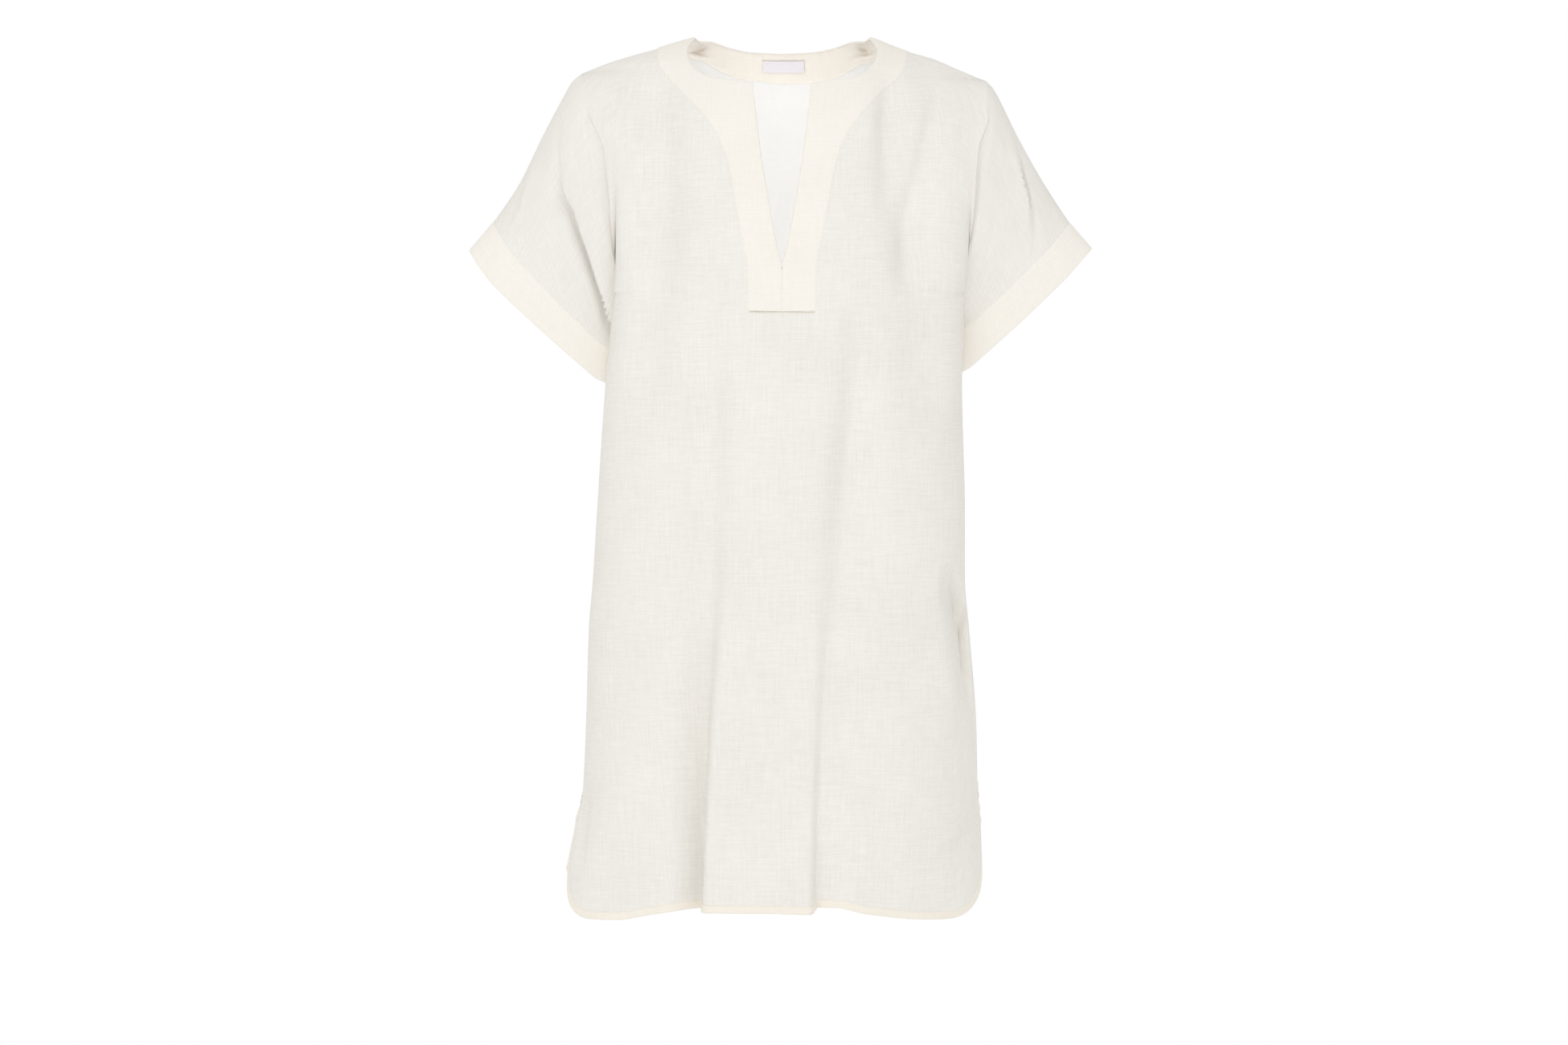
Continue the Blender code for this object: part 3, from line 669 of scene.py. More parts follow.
def side_depth(panel, side, z):
    """How far the panel's side edge lies from the plane of the seams."""
    top = ARMHOLE_TOP[side]
    if z > ARMPIT:
        around = min(max((top - z) / (top - ARMPIT), 0.0), 1.0)
        return SLEEVE_DEPTH[panel][0] * sleeve_swell(around)
    return VENT_SPREAD * ease((VENT_TOP - z) / (VENT_TOP - VENT_FULL))


def body_point(panel, side, half, z):
    """The body's outer face at a level, by its distance from the centre line."""
    width = read(WIDTH, "z", side, z)
    sine = min(half / width, 1.0)
    cosine = math.sqrt(1 - sine * sine)
    lobe = cosine ** read(DEPTH, "z", "square", z)
    drop = read(RIDGE, "x", side, half) - z
    depth = read(DEPTH, "z", panel, z) * lobe * round_over(drop / ROUNDING[panel])
    depth += side_depth(panel, side, z) * (1 - lobe) ** SIDE_POWER
    x = HAND[side] * half + CENTRE * cosine
    push = fold_height(panel, x, z, sine)
    depth = max(depth + push, 0.0)
    if side == "right" and panel == "front":
        depth = lapped(half, z, depth)
    return Vector((x + HAND[side] * push * sine, FACE[panel] * depth, z))


print("the front of the chest is at", [round(v, 3) for v in body_point("front", "left", 0.1, -0.15)])

# %% [markdown]
# ## The sleeves
#
# A kimono sleeve has more cloth under the arm than the hanging arm needs. It falls in folds from
# the armhole towards the cuff, and each fold lies over itself, so no map of heights can hold it:
# the net of the sleeve also slides along, out over the fold and back under it.

# %% The folds over the sleeves
# Each fold is a table by the way round the sleeve: how far along the sleeve its edge lies, how high
# the cloth on the body's side stands there, how far it hangs over, and half the fold's width.


def overfold(*rows):
    """A fold of the sleeve that lies over itself."""
    return table("around along height over half", *rows)


def armhole_fold(lift):
    """The edge of the body's side, which stands a little in front of the sleeve."""
    return overfold(
        (0.10, 0.020, 0.0000, 0.0000, 0.0035),
        (0.22, 0.026, 0.0020, 0.0004, 0.0035),
        (0.40, 0.032, lift, 0.0010, 0.0038),
        (0.65, 0.042, lift, 0.0014, 0.0038),
        (0.85, 0.056, 0.0022, 0.0004, 0.0036),
        (0.97, 0.070, 0.0000, 0.0000, 0.0036),
    )


FLAPS = {
    ("left", "front"): [
        overfold(
            (0.01, 0.170, 0.0000, 0.0000, 0.0080),
            (0.09, 0.250, 0.0016, 0.0000, 0.0080),
            (0.16, 0.340, 0.0022, 0.0000, 0.0080),
            (0.24, 0.390, 0.0030, 0.0006, 0.0080),
            (0.34, 0.440, 0.0055, 0.0018, 0.0070),
            (0.44, 0.405, 0.0085, 0.0038, 0.0066),
            (0.61, 0.390, 0.0110, 0.0050, 0.0064),
            (0.79, 0.440, 0.0120, 0.0050, 0.0060),
            (0.90, 0.660, 0.0105, 0.0030, 0.0050),
            (0.97, 0.820, 0.0060, 0.0000, 0.0050),
            (1.00, 0.860, 0.0000, 0.0000, 0.0050),
        ),
        armhole_fold(0.0028),
        overfold(
            (0.01, 0.620, 0.0000, 0.0000, 0.0060),
            (0.05, 0.710, 0.0028, 0.0000, 0.0056),
            (0.10, 0.820, 0.0028, 0.0000, 0.0056),
            (0.15, 0.960, 0.0000, 0.0000, 0.0060),
        ),
    ],
    ("right", "front"): [
        overfold(
            (0.00, 0.320, 0.0000, 0.0000, 0.0060),
            (0.04, 0.390, 0.0040, 0.0002, 0.0060),
            (0.08, 0.435, 0.0056, 0.0010, 0.0058),
            (0.135, 0.545, 0.0064, 0.0012, 0.0060),
            (0.18, 0.662, 0.0058, 0.0008, 0.0064),
            (0.25, 0.775, 0.0036, 0.0000, 0.0072),
            (0.34, 0.870, 0.0000, 0.0000, 0.0075),
        ),
        armhole_fold(0.0034),
    ],
    ("left", "back"): [
        overfold(
            (0.06, 0.300, 0.0000, 0.0000, 0.0090),
            (0.30, 0.400, 0.0040, 0.0010, 0.0085),
            (0.70, 0.430, 0.0060, 0.0026, 0.0080),
            (1.00, 0.520, 0.0000, 0.0000, 0.0070),
        ),
        armhole_fold(0.0036),
    ],
    ("right", "back"): [
        overfold(
            (0.08, 0.360, 0.0000, 0.0000, 0.0090),
            (0.35, 0.440, 0.0045, 0.0010, 0.0085),
            (0.75, 0.470, 0.0060, 0.0026, 0.0080),
            (1.00, 0.560, 0.0000, 0.0000, 0.0070),
        ),
        armhole_fold(0.0036),
    ],
}


print(sum(len(folds) for folds in FLAPS.values()), "folds lie over the sleeves")

# %% How a fold moves the net
SLEEVE_LENGTH = {"over": 0.180, "under": 0.049}  # from the armhole to the cuff's seam
FOLD_REACH = 0.028  # how far a fold is felt on the body's side of its edge
POCKET_REACH = 0.0095  # and on the sleeve's side
FOLD_STEEP = 2.5  # how steeply a fold drops at its edge
OVER_START = 0.001  # the net slides less where a fold hangs over by less than this
SEAM_RATE = 60  # how soon after the armhole a fold has its full height


def sleeve_folds(panel, side, along, around):
    """Where the folds move a spot of the sleeve: how far along it, and how high."""
    shift, rise = 0.0, 0.0
    length = mix(SLEEVE_LENGTH["over"], SLEEVE_LENGTH["under"], around)
    for fold in FLAPS[side, panel]:
        if not fold["around"][0] < around < fold["around"][-1]:
            continue
        half = read(fold, "around", "half", around)
        height = read(fold, "around", "height", around)
        away = (along - read(fold, "around", "along", around)) * length
        reach = POCKET_REACH if away > 0 else FOLD_REACH
        rise -= height * math.tanh(FOLD_STEEP * away / half) * math.exp(-((away / reach) ** 2))
        if abs(away) < half:
            over = read(fold, "around", "over", around)
            if over > 0:
                swing = (over + half / 2 * min(over / OVER_START, 1.0)) * math.sin(math.pi * away / half)
                shift -= swing / length
    return shift, rise * ease(along * SEAM_RATE)


print("a spot of the left sleeve rises by", round(sleeve_folds("front", "left", 0.3, 0.6)[1], 4), "m")

# %% The sleeves' surface
# Towards the cuff the underarm seam lies behind the body's side. The tables say how far the cloth
# near it is moved back, in and up, and the rates how soon after the armhole.
TUCK_RATE = 2.2
LEAN_RATE = 6
TUCK = {
    "front": table(
        "around back in up",
        (0.550, 0.0000, 0.0000, 0.0000),
        (0.700, 0.0000, 0.0040, -0.0030),
        (0.800, 0.0000, 0.0080, -0.0060),
        (0.880, 0.0000, 0.0140, -0.0105),
        (0.930, 0.0015, 0.0225, -0.0120),
        (0.950, 0.0090, 0.0205, -0.0105),
        (0.970, 0.0190, 0.0150, -0.0080),
        (0.985, 0.0286, 0.0085, -0.0035),
        (1.000, 0.0300, 0.0065, 0.0000),
    ),
    "back": table(
        "around back in up",
        (0.600, 0.0000, 0.0000, 0.0000),
        (0.750, 0.0110, 0.0007, 0.0050),
        (0.880, 0.0210, 0.0030, 0.0110),
        (0.960, 0.0275, 0.0055, 0.0110),
        (1.000, 0.0300, 0.0065, 0.0000),
    ),
}


def sleeve_point(panel, side, along, around):
    """A sleeve's outer face: around is 0 at the overarm seam and 1 at the underarm seam."""
    shift, rise = sleeve_folds(panel, side, along, around)
    along += shift
    top_x = read(OVERARM, "along", side + "_x", along)
    top_z = read(OVERARM, "along", side + "_z", along)
    low_x = read(UNDERARM, "along", side + "_x", along)
    low_z = read(UNDERARM, "along", side + "_z", along)
    start_z = mix(ARMHOLE_TOP[side], ARMPIT, around)
    start_x = mix(OVERARM[side + "_x"][0], UNDERARM[side + "_x"][0], around)
    hold = max(1 - along, 0.0) ** 2
    x = mix(top_x, low_x, around) + (read(WIDTH, "z", side, start_z) - start_x) * hold
    z = mix(top_z, low_z, around)
    bow = read(SLEEVE_BOW, "around", side, around) * min(max(along, 0.0), 1.0) ** BOW_POWER
    bow *= 1.0 if panel == "front" else BACK_BOW
    edge = math.hypot(top_x - low_x, top_z - low_z)
    x += bow * (top_z - low_z) / edge
    z -= bow * (top_x - low_x) / edge
    swell = sleeve_swell(around)
    depth = max((read(SLEEVE_DEPTH, "along", panel, along) + rise) * swell, 0.0)
    tuck, lean = ease(along * TUCK_RATE), ease(along * LEAN_RATE)
    x -= read(TUCK[panel], "around", "in", around) * lean
    z += read(TUCK[panel], "around", "up", around) * lean
    back = read(TUCK[panel], "around", "back", around) * tuck
    return Vector((HAND[side] * x, FACE[panel] * depth + back, z))


print("the left cuff's lower corner is at", [round(v, 3) for v in sleeve_point("front", "left", 2, 1)])

# %% [markdown]
# ## The panels' net
#
# A cloth panel is easiest to shape as a net of small cells that follows the cut: columns fall
# from the neck and the shoulder to the hem, and rows lie level. The net is a plain grid from one
# operator, and each corner is then moved to its place on the form. The columns crowd together
# towards the sides, where the cloth turns away, and they carry the rounded corners of the hem.

# %% The numbers of cells
CENTRE_CELLS = 15
NECK_CELLS = 38
SHOULDER_CELLS = 26
CORNER_CELLS = 12
EDGE_CELLS = 2
YOKE_ROWS = 60
SKIRT_ROWS = 104
VENT_ROWS = 24
SLEEVE_CELLS = 80
NECK_STEPS = 7  # steps of the neck edge, one of them beside the centre
WALK_STEPS = 600  # steps of the walk that measures the hem
HEM_ROUNDS = 3  # the hem's level and its width depend on each other, so we go round
print(CENTRE_CELLS + NECK_CELLS + SHOULDER_CELLS, "cells from the centre to the hem's corner")

# %% Shares of the way to the side
COLUMN_POWER = 0.72  # how much the columns crowd together towards the side
NECK_SHARE = 0.37  # the share of the columns that end at the neck
NECK_POWER = 1.5
NECK_LEAN = {"front": 0.0, "back": 0.042}  # the band behind hangs a little lower on the right
TAPE_WIDTH = 0.0068  # the hem tape, from the panel's edge to its fold


def half_at(panel, side, share, z):
    """The distance from the centre line of the column at a share of the way to the side."""
    width = read(WIDTH, "z", side, z)
    start = 0.0
    if panel == "front" and z > PLACKET_FOOT:
        first = share_of_half(side, PLACKET_HALF, PLACKET_FOOT)
        start = math.asin(read(CUT_OUT, "z", "half", z) / width)
        share = max((share - first) / (1 - first), 0.0)
    turn = 1 - (1 - share) ** (1 / COLUMN_POWER)
    return width * math.sin(mix(start, math.pi / 2, turn))


def share_of_half(side, half, z):
    """The column share that lies at a distance from the centre, where there is no cut-out."""
    turn = math.asin(half / read(WIDTH, "z", side, z)) / (math.pi / 2)
    return 1 - (1 - turn) ** COLUMN_POWER


def side_walk(panel, side):
    """Column shares and their distances from the hem's side edge, along the cloth."""
    last = body_point(panel, side, half_at(panel, side, 1.0, HEM_LEVEL), HEM_LEVEL)
    walk = [(0.0, 1.0)]
    for k in range(1, WALK_STEPS):
        share = 1 - k / WALK_STEPS
        point = body_point(panel, side, half_at(panel, side, share, HEM_LEVEL), HEM_LEVEL)
        walk.append((walk[-1][0] + (point - last).length, share))
        last = point
    return walk


def share_from_side(walk, distance):
    """The column share at a distance from the side edge."""
    k = next(n for n in range(1, len(walk)) if walk[n][0] >= distance)
    (near, one), (far, other) = walk[k - 1], walk[k]
    return mix(one, other, (distance - near) / (far - near))


print("the first share is", round(share_of_half("left", PLACKET_HALF, PLACKET_FOOT), 3))

# %% Columns


def columns_of(panel, side):
    """Each column's share, how far it stops above the hem's level, and its place on the neck edge."""
    first = share_of_half(side, PLACKET_HALF, PLACKET_FOOT)
    radius = CORNER[side]
    walk = side_walk(panel, side)
    corner = []
    for k in range(CORNER_CELLS + 1):
        turn = k / CORNER_CELLS * math.pi / 2
        share = share_from_side(walk, TAPE_WIDTH + radius * (1 - math.sin(turn)))
        corner.append((share, radius * (1 - math.cos(turn)), None))
    columns = []
    for k in range(CENTRE_CELLS):
        columns.append((first * k / CENTRE_CELLS, 0.0, k / CENTRE_CELLS / NECK_STEPS))
    for k in range(NECK_CELLS):
        t = k / NECK_CELLS
        place = t if panel == "front" else mix(1 / NECK_STEPS, 1.0, t)
        columns.append((mix(first, NECK_SHARE, t), 0.0, place))
    for k in range(SHOULDER_CELLS):
        columns.append((mix(NECK_SHARE, corner[0][0], k / SHOULDER_CELLS), 0.0, None))
    columns += corner
    for k in range(EDGE_CELLS):
        columns.append((mix(corner[-1][0], 1.0, (k + 1) / EDGE_CELLS), radius, None))
    return columns


NET = {(panel, side): columns_of(panel, side) for panel in FACE for side in HAND}
print(len(NET["front", "left"]), "columns on each side")

# %% Both ends of a column
YOKE_RISE = 1.3  # how fast the armpit's row rises


def neck_share(t):
    """Steps along the neck edge, longer at first."""
    return 1 - (1 - t) ** NECK_POWER


def top_of(panel, side, column):
    """A column's distance from the centre and its level at the panel's top edge."""
    share, _, place = column
    if place is not None:
        t = neck_share(place)
        half = read(NECK_EDGE[panel], "t", "x", t)
        lean = NECK_LEAN[panel] * HAND[side] * half * (1 - t)
        return half, min(read(NECK_EDGE[panel], "t", "z", t) - lean, read(RIDGE, "x", side, half))
    t = (share - NECK_SHARE) / (1 - NECK_SHARE)
    half = mix(NECK_EDGE[panel]["x"][-1], WIDTH[side][-1], t)
    return half, ARMHOLE_TOP[side] if share == 1 else read(RIDGE, "x", side, half)


def yoke_level(share):
    """The armpit's row rises from the placket's foot to the armpit."""
    return mix(PLACKET_FOOT, ARMPIT, ease(share * YOKE_RISE))


def yoke_place(panel, side, column, down):
    """The distance from the centre line and the level of a point above the armpit's row."""
    share = column[0]
    half, top = top_of(panel, side, column)
    z = mix(top, yoke_level(share), down)
    shift = half - half_at(panel, side, share, top)
    return half_at(panel, side, share, z) + shift * (1 - down) ** 2, z


def hem_of(panel, side, column):
    """The level at which a column ends."""
    level = HEM_LEVEL
    for _ in range(HEM_ROUNDS):
        half = half_at(panel, side, column[0], level)
        level = read(HEM, "x", side, half) + column[1]
    return level


def skirt_point(panel, side, column, hem, down):
    """A point between the armpit's row, where down is 0, and the hem, where it is 1."""
    z = mix(yoke_level(column[0]), hem, down)
    return body_point(panel, side, half_at(panel, side, column[0], z), z)


print("the middle column ends at", round(hem_of("front", "left", NET["front", "left"][0]), 4))

# %% Rows
CROWDING = 0.75  # 0 spaces the rows evenly


def crowded(k, count):
    """Shares of a way, closer together at both ends."""
    return mix(k / count, (1 - math.cos(math.pi * k / count)) / 2, CROWDING)


YOKE = [crowded(k, YOKE_ROWS) for k in range(YOKE_ROWS + 1)]
VENT_SHARE = (VENT_TOP - ARMPIT) / (HEM["left"][-1] + CORNER["left"] - ARMPIT)
SKIRT = [VENT_SHARE * k / SKIRT_ROWS for k in range(SKIRT_ROWS)]
SKIRT += [mix(VENT_SHARE, 1.0, k / VENT_ROWS) for k in range(VENT_ROWS + 1)]
print(len(YOKE) + len(SKIRT), "rows on each side")

# %% [markdown]
# ## Cloth from a grid
#
# Every piece of cloth is made in the same way. A grid is laid, and each of its corners gets a
# place, a spot on the weave in metres and, where it has one, a height above the form. When all
# the corners are in place, the sheet is extruded inwards along its own normals, as a Solidify
# modifier would do it, but with the edges at the side seams kept in their plane.

# %% Sheets from a grid
SAME_SPOT = 2e-5  # corners closer together than this are joined


def add_grid(bm, rows, columns, place):
    """Adds a grid of cells to the mesh and puts each corner where place(row, column) says."""
    weave = bm.loops.layers.uv.get("weave") or bm.loops.layers.uv.new("weave")
    proud = bm.verts.layers.float.get("proud") or bm.verts.layers.float.new("proud")
    made = bmesh.ops.create_grid(bm, x_segments=columns, y_segments=rows, size=0.5)
    spots = {}
    for vert in made["verts"]:
        column = round((vert.co.x + 0.5) * columns)
        row = round((vert.co.y + 0.5) * rows)
        vert.co, spots[vert], vert[proud] = place(row, column)
    for face in {face for vert in made["verts"] for face in vert.link_faces}:
        for loop in face.loops:
            loop[weave].uv = spots[loop.vert]


def face_out(bm, way):
    """Turns an open sheet's faces so that they point the given way on the whole."""
    bmesh.ops.recalc_face_normals(bm, faces=bm.faces)
    if sum(face.normal.dot(way) * face.calc_area() for face in bm.faces) < 0:
        bmesh.ops.reverse_faces(bm, faces=bm.faces)
    bm.normal_update()


print("sheets can be laid")

# %% Walls from a sheet
FLAT_ON_SEAM = 1e-5  # edges this close to the seams' plane stay in it


def make_wall(bm, thickness):
    """Lifts the sheet to its height above the form and gives it a thickness inwards."""
    proud = bm.verts.layers.float["proud"]
    bm.normal_update()
    ways = {}
    for vert in bm.verts:
        way = vert.normal.copy()
        if vert.is_boundary and abs(vert.co.y) < FLAT_ON_SEAM:
            way.y = 0.0
        ways[vert] = way.normalized()
    for vert, way in ways.items():
        vert.co += way * vert[proud]
    outer = list(bm.verts)
    made = bmesh.ops.extrude_face_region(bm, geom=bm.faces[:], use_keep_orig=True)
    inner = [item for item in made["geom"] if isinstance(item, bmesh.types.BMVert)]
    for face in made["geom"]:
        if isinstance(face, bmesh.types.BMFace):
            face.material_index = 1
    for vert, twin in zip(outer, match(outer, inner)):
        twin.co = vert.co - ways[vert] * thickness
    bmesh.ops.recalc_face_normals(bm, faces=bm.faces)


def match(outer, inner):
    """The copied vertices in the order of the vertices that they were copied from."""
    places = {tuple(vert.co): vert for vert in inner}
    return [places[tuple(vert.co)] for vert in outer]


print("and be given a thickness")

# %% Pieces of the dress
SHARP_ANGLE = math.radians(50)


def finish_piece(bm, name, finish, nodes, lining=None):
    """The mesh as a named piece of the dress, in one finish or in two: outside and inside."""
    mesh = bpy.data.meshes.new(name)
    bm.to_mesh(mesh)
    area = sum(face.calc_area() for face in bm.faces) / 2
    bm.free()
    mesh.shade_smooth()
    mesh.set_sharp_from_angle(angle=SHARP_ANGLE)
    piece = bpy.data.objects.new(name, mesh)
    piece.data.materials.append(finish)
    piece.data.materials.append(lining or finish)
    bpy.context.scene.collection.objects.link(piece)
    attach(piece, BODY)
    if nodes:
        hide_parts(*nodes)
    print(name, "has", len(mesh.polygons), "faces and", round(area, 4), "m2 of cloth")
    return piece


print("and become pieces, which ride on the body", BODY)

# %% [markdown]
# ## Finishes written as sums
#
# A finish is a tree of nodes. Drawn by hand such a tree soon gets hard to read, so here a small
# class stands for the output of a node, and adding or multiplying two of them adds the node that
# does it. One method makes every other node: it takes the kind of node, its settings and what
# goes into its sockets.

# %% Values


class Value:
    """The output of a node, which can be added, taken away and multiplied."""

    def __init__(self, finish, socket):
        self.finish = finish
        self.socket = socket

    def math(self, operation, first, second):
        """The output of a Math node that is fed with two values or numbers."""
        return self.finish.node("ShaderNodeMath", {"operation": operation}, {0: first, 1: second})

    def __add__(self, other):
        return self.math("ADD", self, other)

    def __sub__(self, other):
        return self.math("SUBTRACT", self, other)

    def __rsub__(self, other):
        return self.math("SUBTRACT", other, self)

    def __mul__(self, other):
        return self.math("MULTIPLY", self, other)

    __radd__ = __add__
    __rmul__ = __mul__


print("values can be added up")

# %% Finishes


class Finish:
    """A material, with the method that adds nodes to it."""

    def __init__(self, name):
        self.material = bpy.data.materials.new(name)
        self.material.use_nodes = True
        self.tree = self.material.node_tree
        self.shader = self.tree.nodes["Principled BSDF"]

    def node(self, kind, settings=None, sockets=None, output=0):
        """Adds a node, sets it, feeds its sockets and gives one of its outputs."""
        made = self.tree.nodes.new(kind)
        for name, value in (settings or {}).items():
            setattr(made, name, value)
        for key, value in (sockets or {}).items():
            self.feed(made.inputs[key], value)
        return Value(self, made.outputs[output])

    def feed(self, socket, value):
        """Links a value to a socket, or sets the socket to a number or a colour."""
        if isinstance(value, Value):
            self.tree.links.new(value.socket, socket)
        else:
            socket.default_value = value

    def blend(self, low, high, share):
        """A colour between two colours."""
        settings = {"data_type": "RGBA"}
        return self.node("ShaderNodeMix", settings, {0: share, 6: low, 7: high}, output=2)

    def weave(self):
        """The spot on the weave, in metres across and up the cloth."""
        spot = self.node("ShaderNodeUVMap", {"uv_map": "weave"})
        return [self.node("ShaderNodeSeparateXYZ", None, {0: spot}, output=k) for k in (0, 1)]

    def streaks(self, along, across, length, thickness, layer, detail):
        """Streaks of noise, around 0: their size in metres, and which layer of the noise."""
        places = {0: along * (1 / length), 1: across * (1 / thickness), 2: layer}
        spot = self.node("ShaderNodeCombineXYZ", None, places)
        noise = self.node("ShaderNodeTexNoise", None, {"Vector": spot, "Scale": 1.0, "Detail": detail})
        return noise - 0.5


print("finishes can be written as sums")

# %% [markdown]
# ## Linen
#
# Linen thread is spun from long flax fibres and is never even: it swells into slubs, so the cloth
# shows short lighter and darker streaks along both threads, a millimetre thick and a centimetre
# or two long. Two layers of stretched noise, one for each thread, draw them, and a finer pair
# stands for the single threads. Both feed the colour and the bump. The single layer of linen in
# the panels is thin enough to let light through, so part of its shader passes light to the
# other side.

# %% The linen of the panels


def rgb(red, green, blue):
    """An opaque colour."""
    return (red, green, blue, 1.0)


# Streaks: their length and thickness in metres, the layer of the noise, and its fine detail.
WEFT = (0.013, 0.0011, 1.0, 1.0)
WARP = (0.015, 0.0012, 2.0, 1.0)
WEFT_SLUB = (0.034, 0.0019, 3.0, 0.0)
WARP_SLUB = (0.040, 0.0021, 4.0, 0.0)
FINE_WEFT = (0.0040, 0.0006, 5.0, 0.0)
FINE_WARP = (0.0040, 0.0006, 6.0, 0.0)
CLOUD = (0.070, 0.070, 7.0, 1.0)
# How much each of them counts, beside the weft
WARP_SHARE = 0.9
SLUB_SHARE = 0.8
CLOUD_SHARE = 0.35
THREAD_HEIGHT = 0.8
WEAVE_HEIGHT = 0.0004
WEAVE_BUMP = 0.45
LINEN_ROUGHNESS = 0.92
LINEN_SHINE = 0.2


def linen(name, dark, light, slub, thread, through):
    """Woven linen: two colours, how strong its slubs and threads show, and the light it passes."""
    cloth = Finish(name)
    u, v = cloth.weave()
    weft, warp = cloth.streaks(u, v, *WEFT), cloth.streaks(v, u, *WARP)
    weft_slub, warp_slub = cloth.streaks(u, v, *WEFT_SLUB), cloth.streaks(v, u, *WARP_SLUB)
    fine_weft, fine_warp = cloth.streaks(u, v, *FINE_WEFT), cloth.streaks(v, u, *FINE_WARP)
    cloud = cloth.streaks(u, v, *CLOUD)
    pattern = (weft + warp * WARP_SHARE) * slub + (weft_slub + warp_slub) * (slub * SLUB_SHARE)
    pattern = pattern + (fine_weft + fine_warp) * thread + cloud * CLOUD_SHARE
    colour = cloth.blend(dark, light, pattern + 0.5)
    height = weft + warp + (fine_weft + fine_warp) * THREAD_HEIGHT
    sockets = {"Strength": WEAVE_BUMP, "Distance": WEAVE_HEIGHT, "Height": height}
    bump = cloth.node("ShaderNodeBump", None, sockets)
    shader = cloth.shader
    cloth.feed(shader.inputs["Base Color"], colour)
    cloth.feed(shader.inputs["Normal"], bump)
    shader.inputs["Roughness"].default_value = LINEN_ROUGHNESS
    shader.inputs["Specular IOR Level"].default_value = LINEN_SHINE
    if through:
        glow = cloth.node("ShaderNodeBsdfTranslucent", None, {"Color": colour})
        both = cloth.tree.nodes.new("ShaderNodeMixShader")
        both.inputs[0].default_value = through
        cloth.tree.links.new(shader.outputs[0], both.inputs[1])
        cloth.tree.links.new(glow.socket, both.inputs[2])
        end = cloth.tree.nodes["Material Output"]
        cloth.tree.links.new(both.outputs[0], end.inputs["Surface"])
    return cloth.material


PANEL_LINEN = linen("linen", rgb(0.83, 0.80, 0.74), rgb(0.985, 0.965, 0.925), 0.42, 0.2, 0.12)
# The inside of the panels is a paler, cooler copy of the linen with fainter slubs. This is painted light,
# for the light that shines through the back into the hollow dress.
INNER_LINEN_PAINTED_LIGHT = linen("linen_inside_painted_light", rgb(0.895, 0.875, 0.85), rgb(0.985, 0.97, 0.955), 0.16, 0.1, 0.12)
print("the panels' cloth is", PANEL_LINEN.name, "and its inside is", INNER_LINEN_PAINTED_LIGHT.name)

# %% [markdown]
# ## Doubled linen, bias tape and satin
#
# The bands and cuffs are two layers of a closer, smoother linen, so they look warmer and more
# solid than the panels. The band inside the back of the neck is the same linen a shade darker and
# warmer, as painted shade for the shade it sits in; the hem tape is a strip of the same cloth, cut
# on the slant. The label is satin: smooth, and a little glossy across its threads. The sewing
# thread is made in the same way, in a light brown; its row under the placket's foot is painted shadow.

# %% Doubled linen and bias tape
BAND_LINEN = linen("doubled_linen", rgb(0.825, 0.783, 0.705), rgb(0.933, 0.902, 0.845), 0.25, 0.15, 0.0)
# The back band is the band's linen made darker and warmer: painted shade, for the shade inside the neck.
FACING_LINEN_PAINTED_SHADE = linen("facing_linen_painted_shade", rgb(0.813, 0.756, 0.675), rgb(0.920, 0.870, 0.809), 0.25, 0.15, 0.0)
TAPE_LINEN = linen("bias_tape", rgb(0.82, 0.77, 0.67), rgb(0.93, 0.88, 0.80), 0.25, 0.15, 0.0)
print("the doubled cloths are", BAND_LINEN.name, "and", FACING_LINEN_PAINTED_SHADE.name)

# %% Satin and thread
SATIN_STREAKS = (0.006, 0.0003, 1.0, 0.0)
SATIN_CONTRAST = 0.8
SATIN_HEIGHT = 0.0001
SATIN_BUMP = 0.3
SATIN_ROUGHNESS = 0.42
SATIN_UNEVEN = 0.2


def satin(name, colour, shine):
    """Label satin: fine threads along its length, which catch the light together."""
    cloth = Finish(name)
    u, v = cloth.weave()
    threads = cloth.streaks(u, v, *SATIN_STREAKS)
    tone = cloth.blend(colour, shine, threads * SATIN_CONTRAST + 0.5)
    sockets = {"Strength": SATIN_BUMP, "Distance": SATIN_HEIGHT, "Height": threads}
    bump = cloth.node("ShaderNodeBump", None, sockets)
    cloth.feed(cloth.shader.inputs["Base Color"], tone)
    cloth.feed(cloth.shader.inputs["Roughness"], threads * SATIN_UNEVEN + SATIN_ROUGHNESS)
    cloth.feed(cloth.shader.inputs["Normal"], bump)
    return cloth.material


LABEL_SATIN = satin("label_satin", rgb(0.73, 0.69, 0.72), rgb(0.83, 0.79, 0.82))
# The thread is darker than the cloth; its row under the placket's foot is painted shadow.
THREAD_AND_PAINTED_SHADOW = satin("sewing_thread_and_painted_shadow", rgb(0.66, 0.58, 0.45), rgb(0.76, 0.69, 0.56))
print("and the small parts are in", LABEL_SATIN.name, "and", THREAD_AND_PAINTED_SHADOW.name)

# %% [markdown]
# ## The two panels
#
# Front and back are one piece each, from cuff seam to cuff seam: a kimono sleeve has no armhole
# seam. On each side we lay three nets that share their edges: the yoke above the armpit, the
# skirt below it, and the half of the sleeve. The weave keeps straight with the centre of the
# dress, runs out along the sleeves, and so lies slantwise on the hanging arms.

# %% Nets and their weave


def run_of(points, parts):
    """Distances from the first point to each of them, counted in the given parts of a step."""
    run = [0.0]
    for before, after in zip(points, points[1:]):
        run.append(run[-1] + math.hypot(*(after[k] - before[k] for k in parts)))
    return run


def lay_net(bm, net, us, vs):
    """Adds a net of points to the mesh, with its spots on the weave."""

    def place(row, column):
        return net[row][column], (us[row][column], vs[row][column]), 0.0

    add_grid(bm, len(net) - 1, len(net[0]) - 1, place)


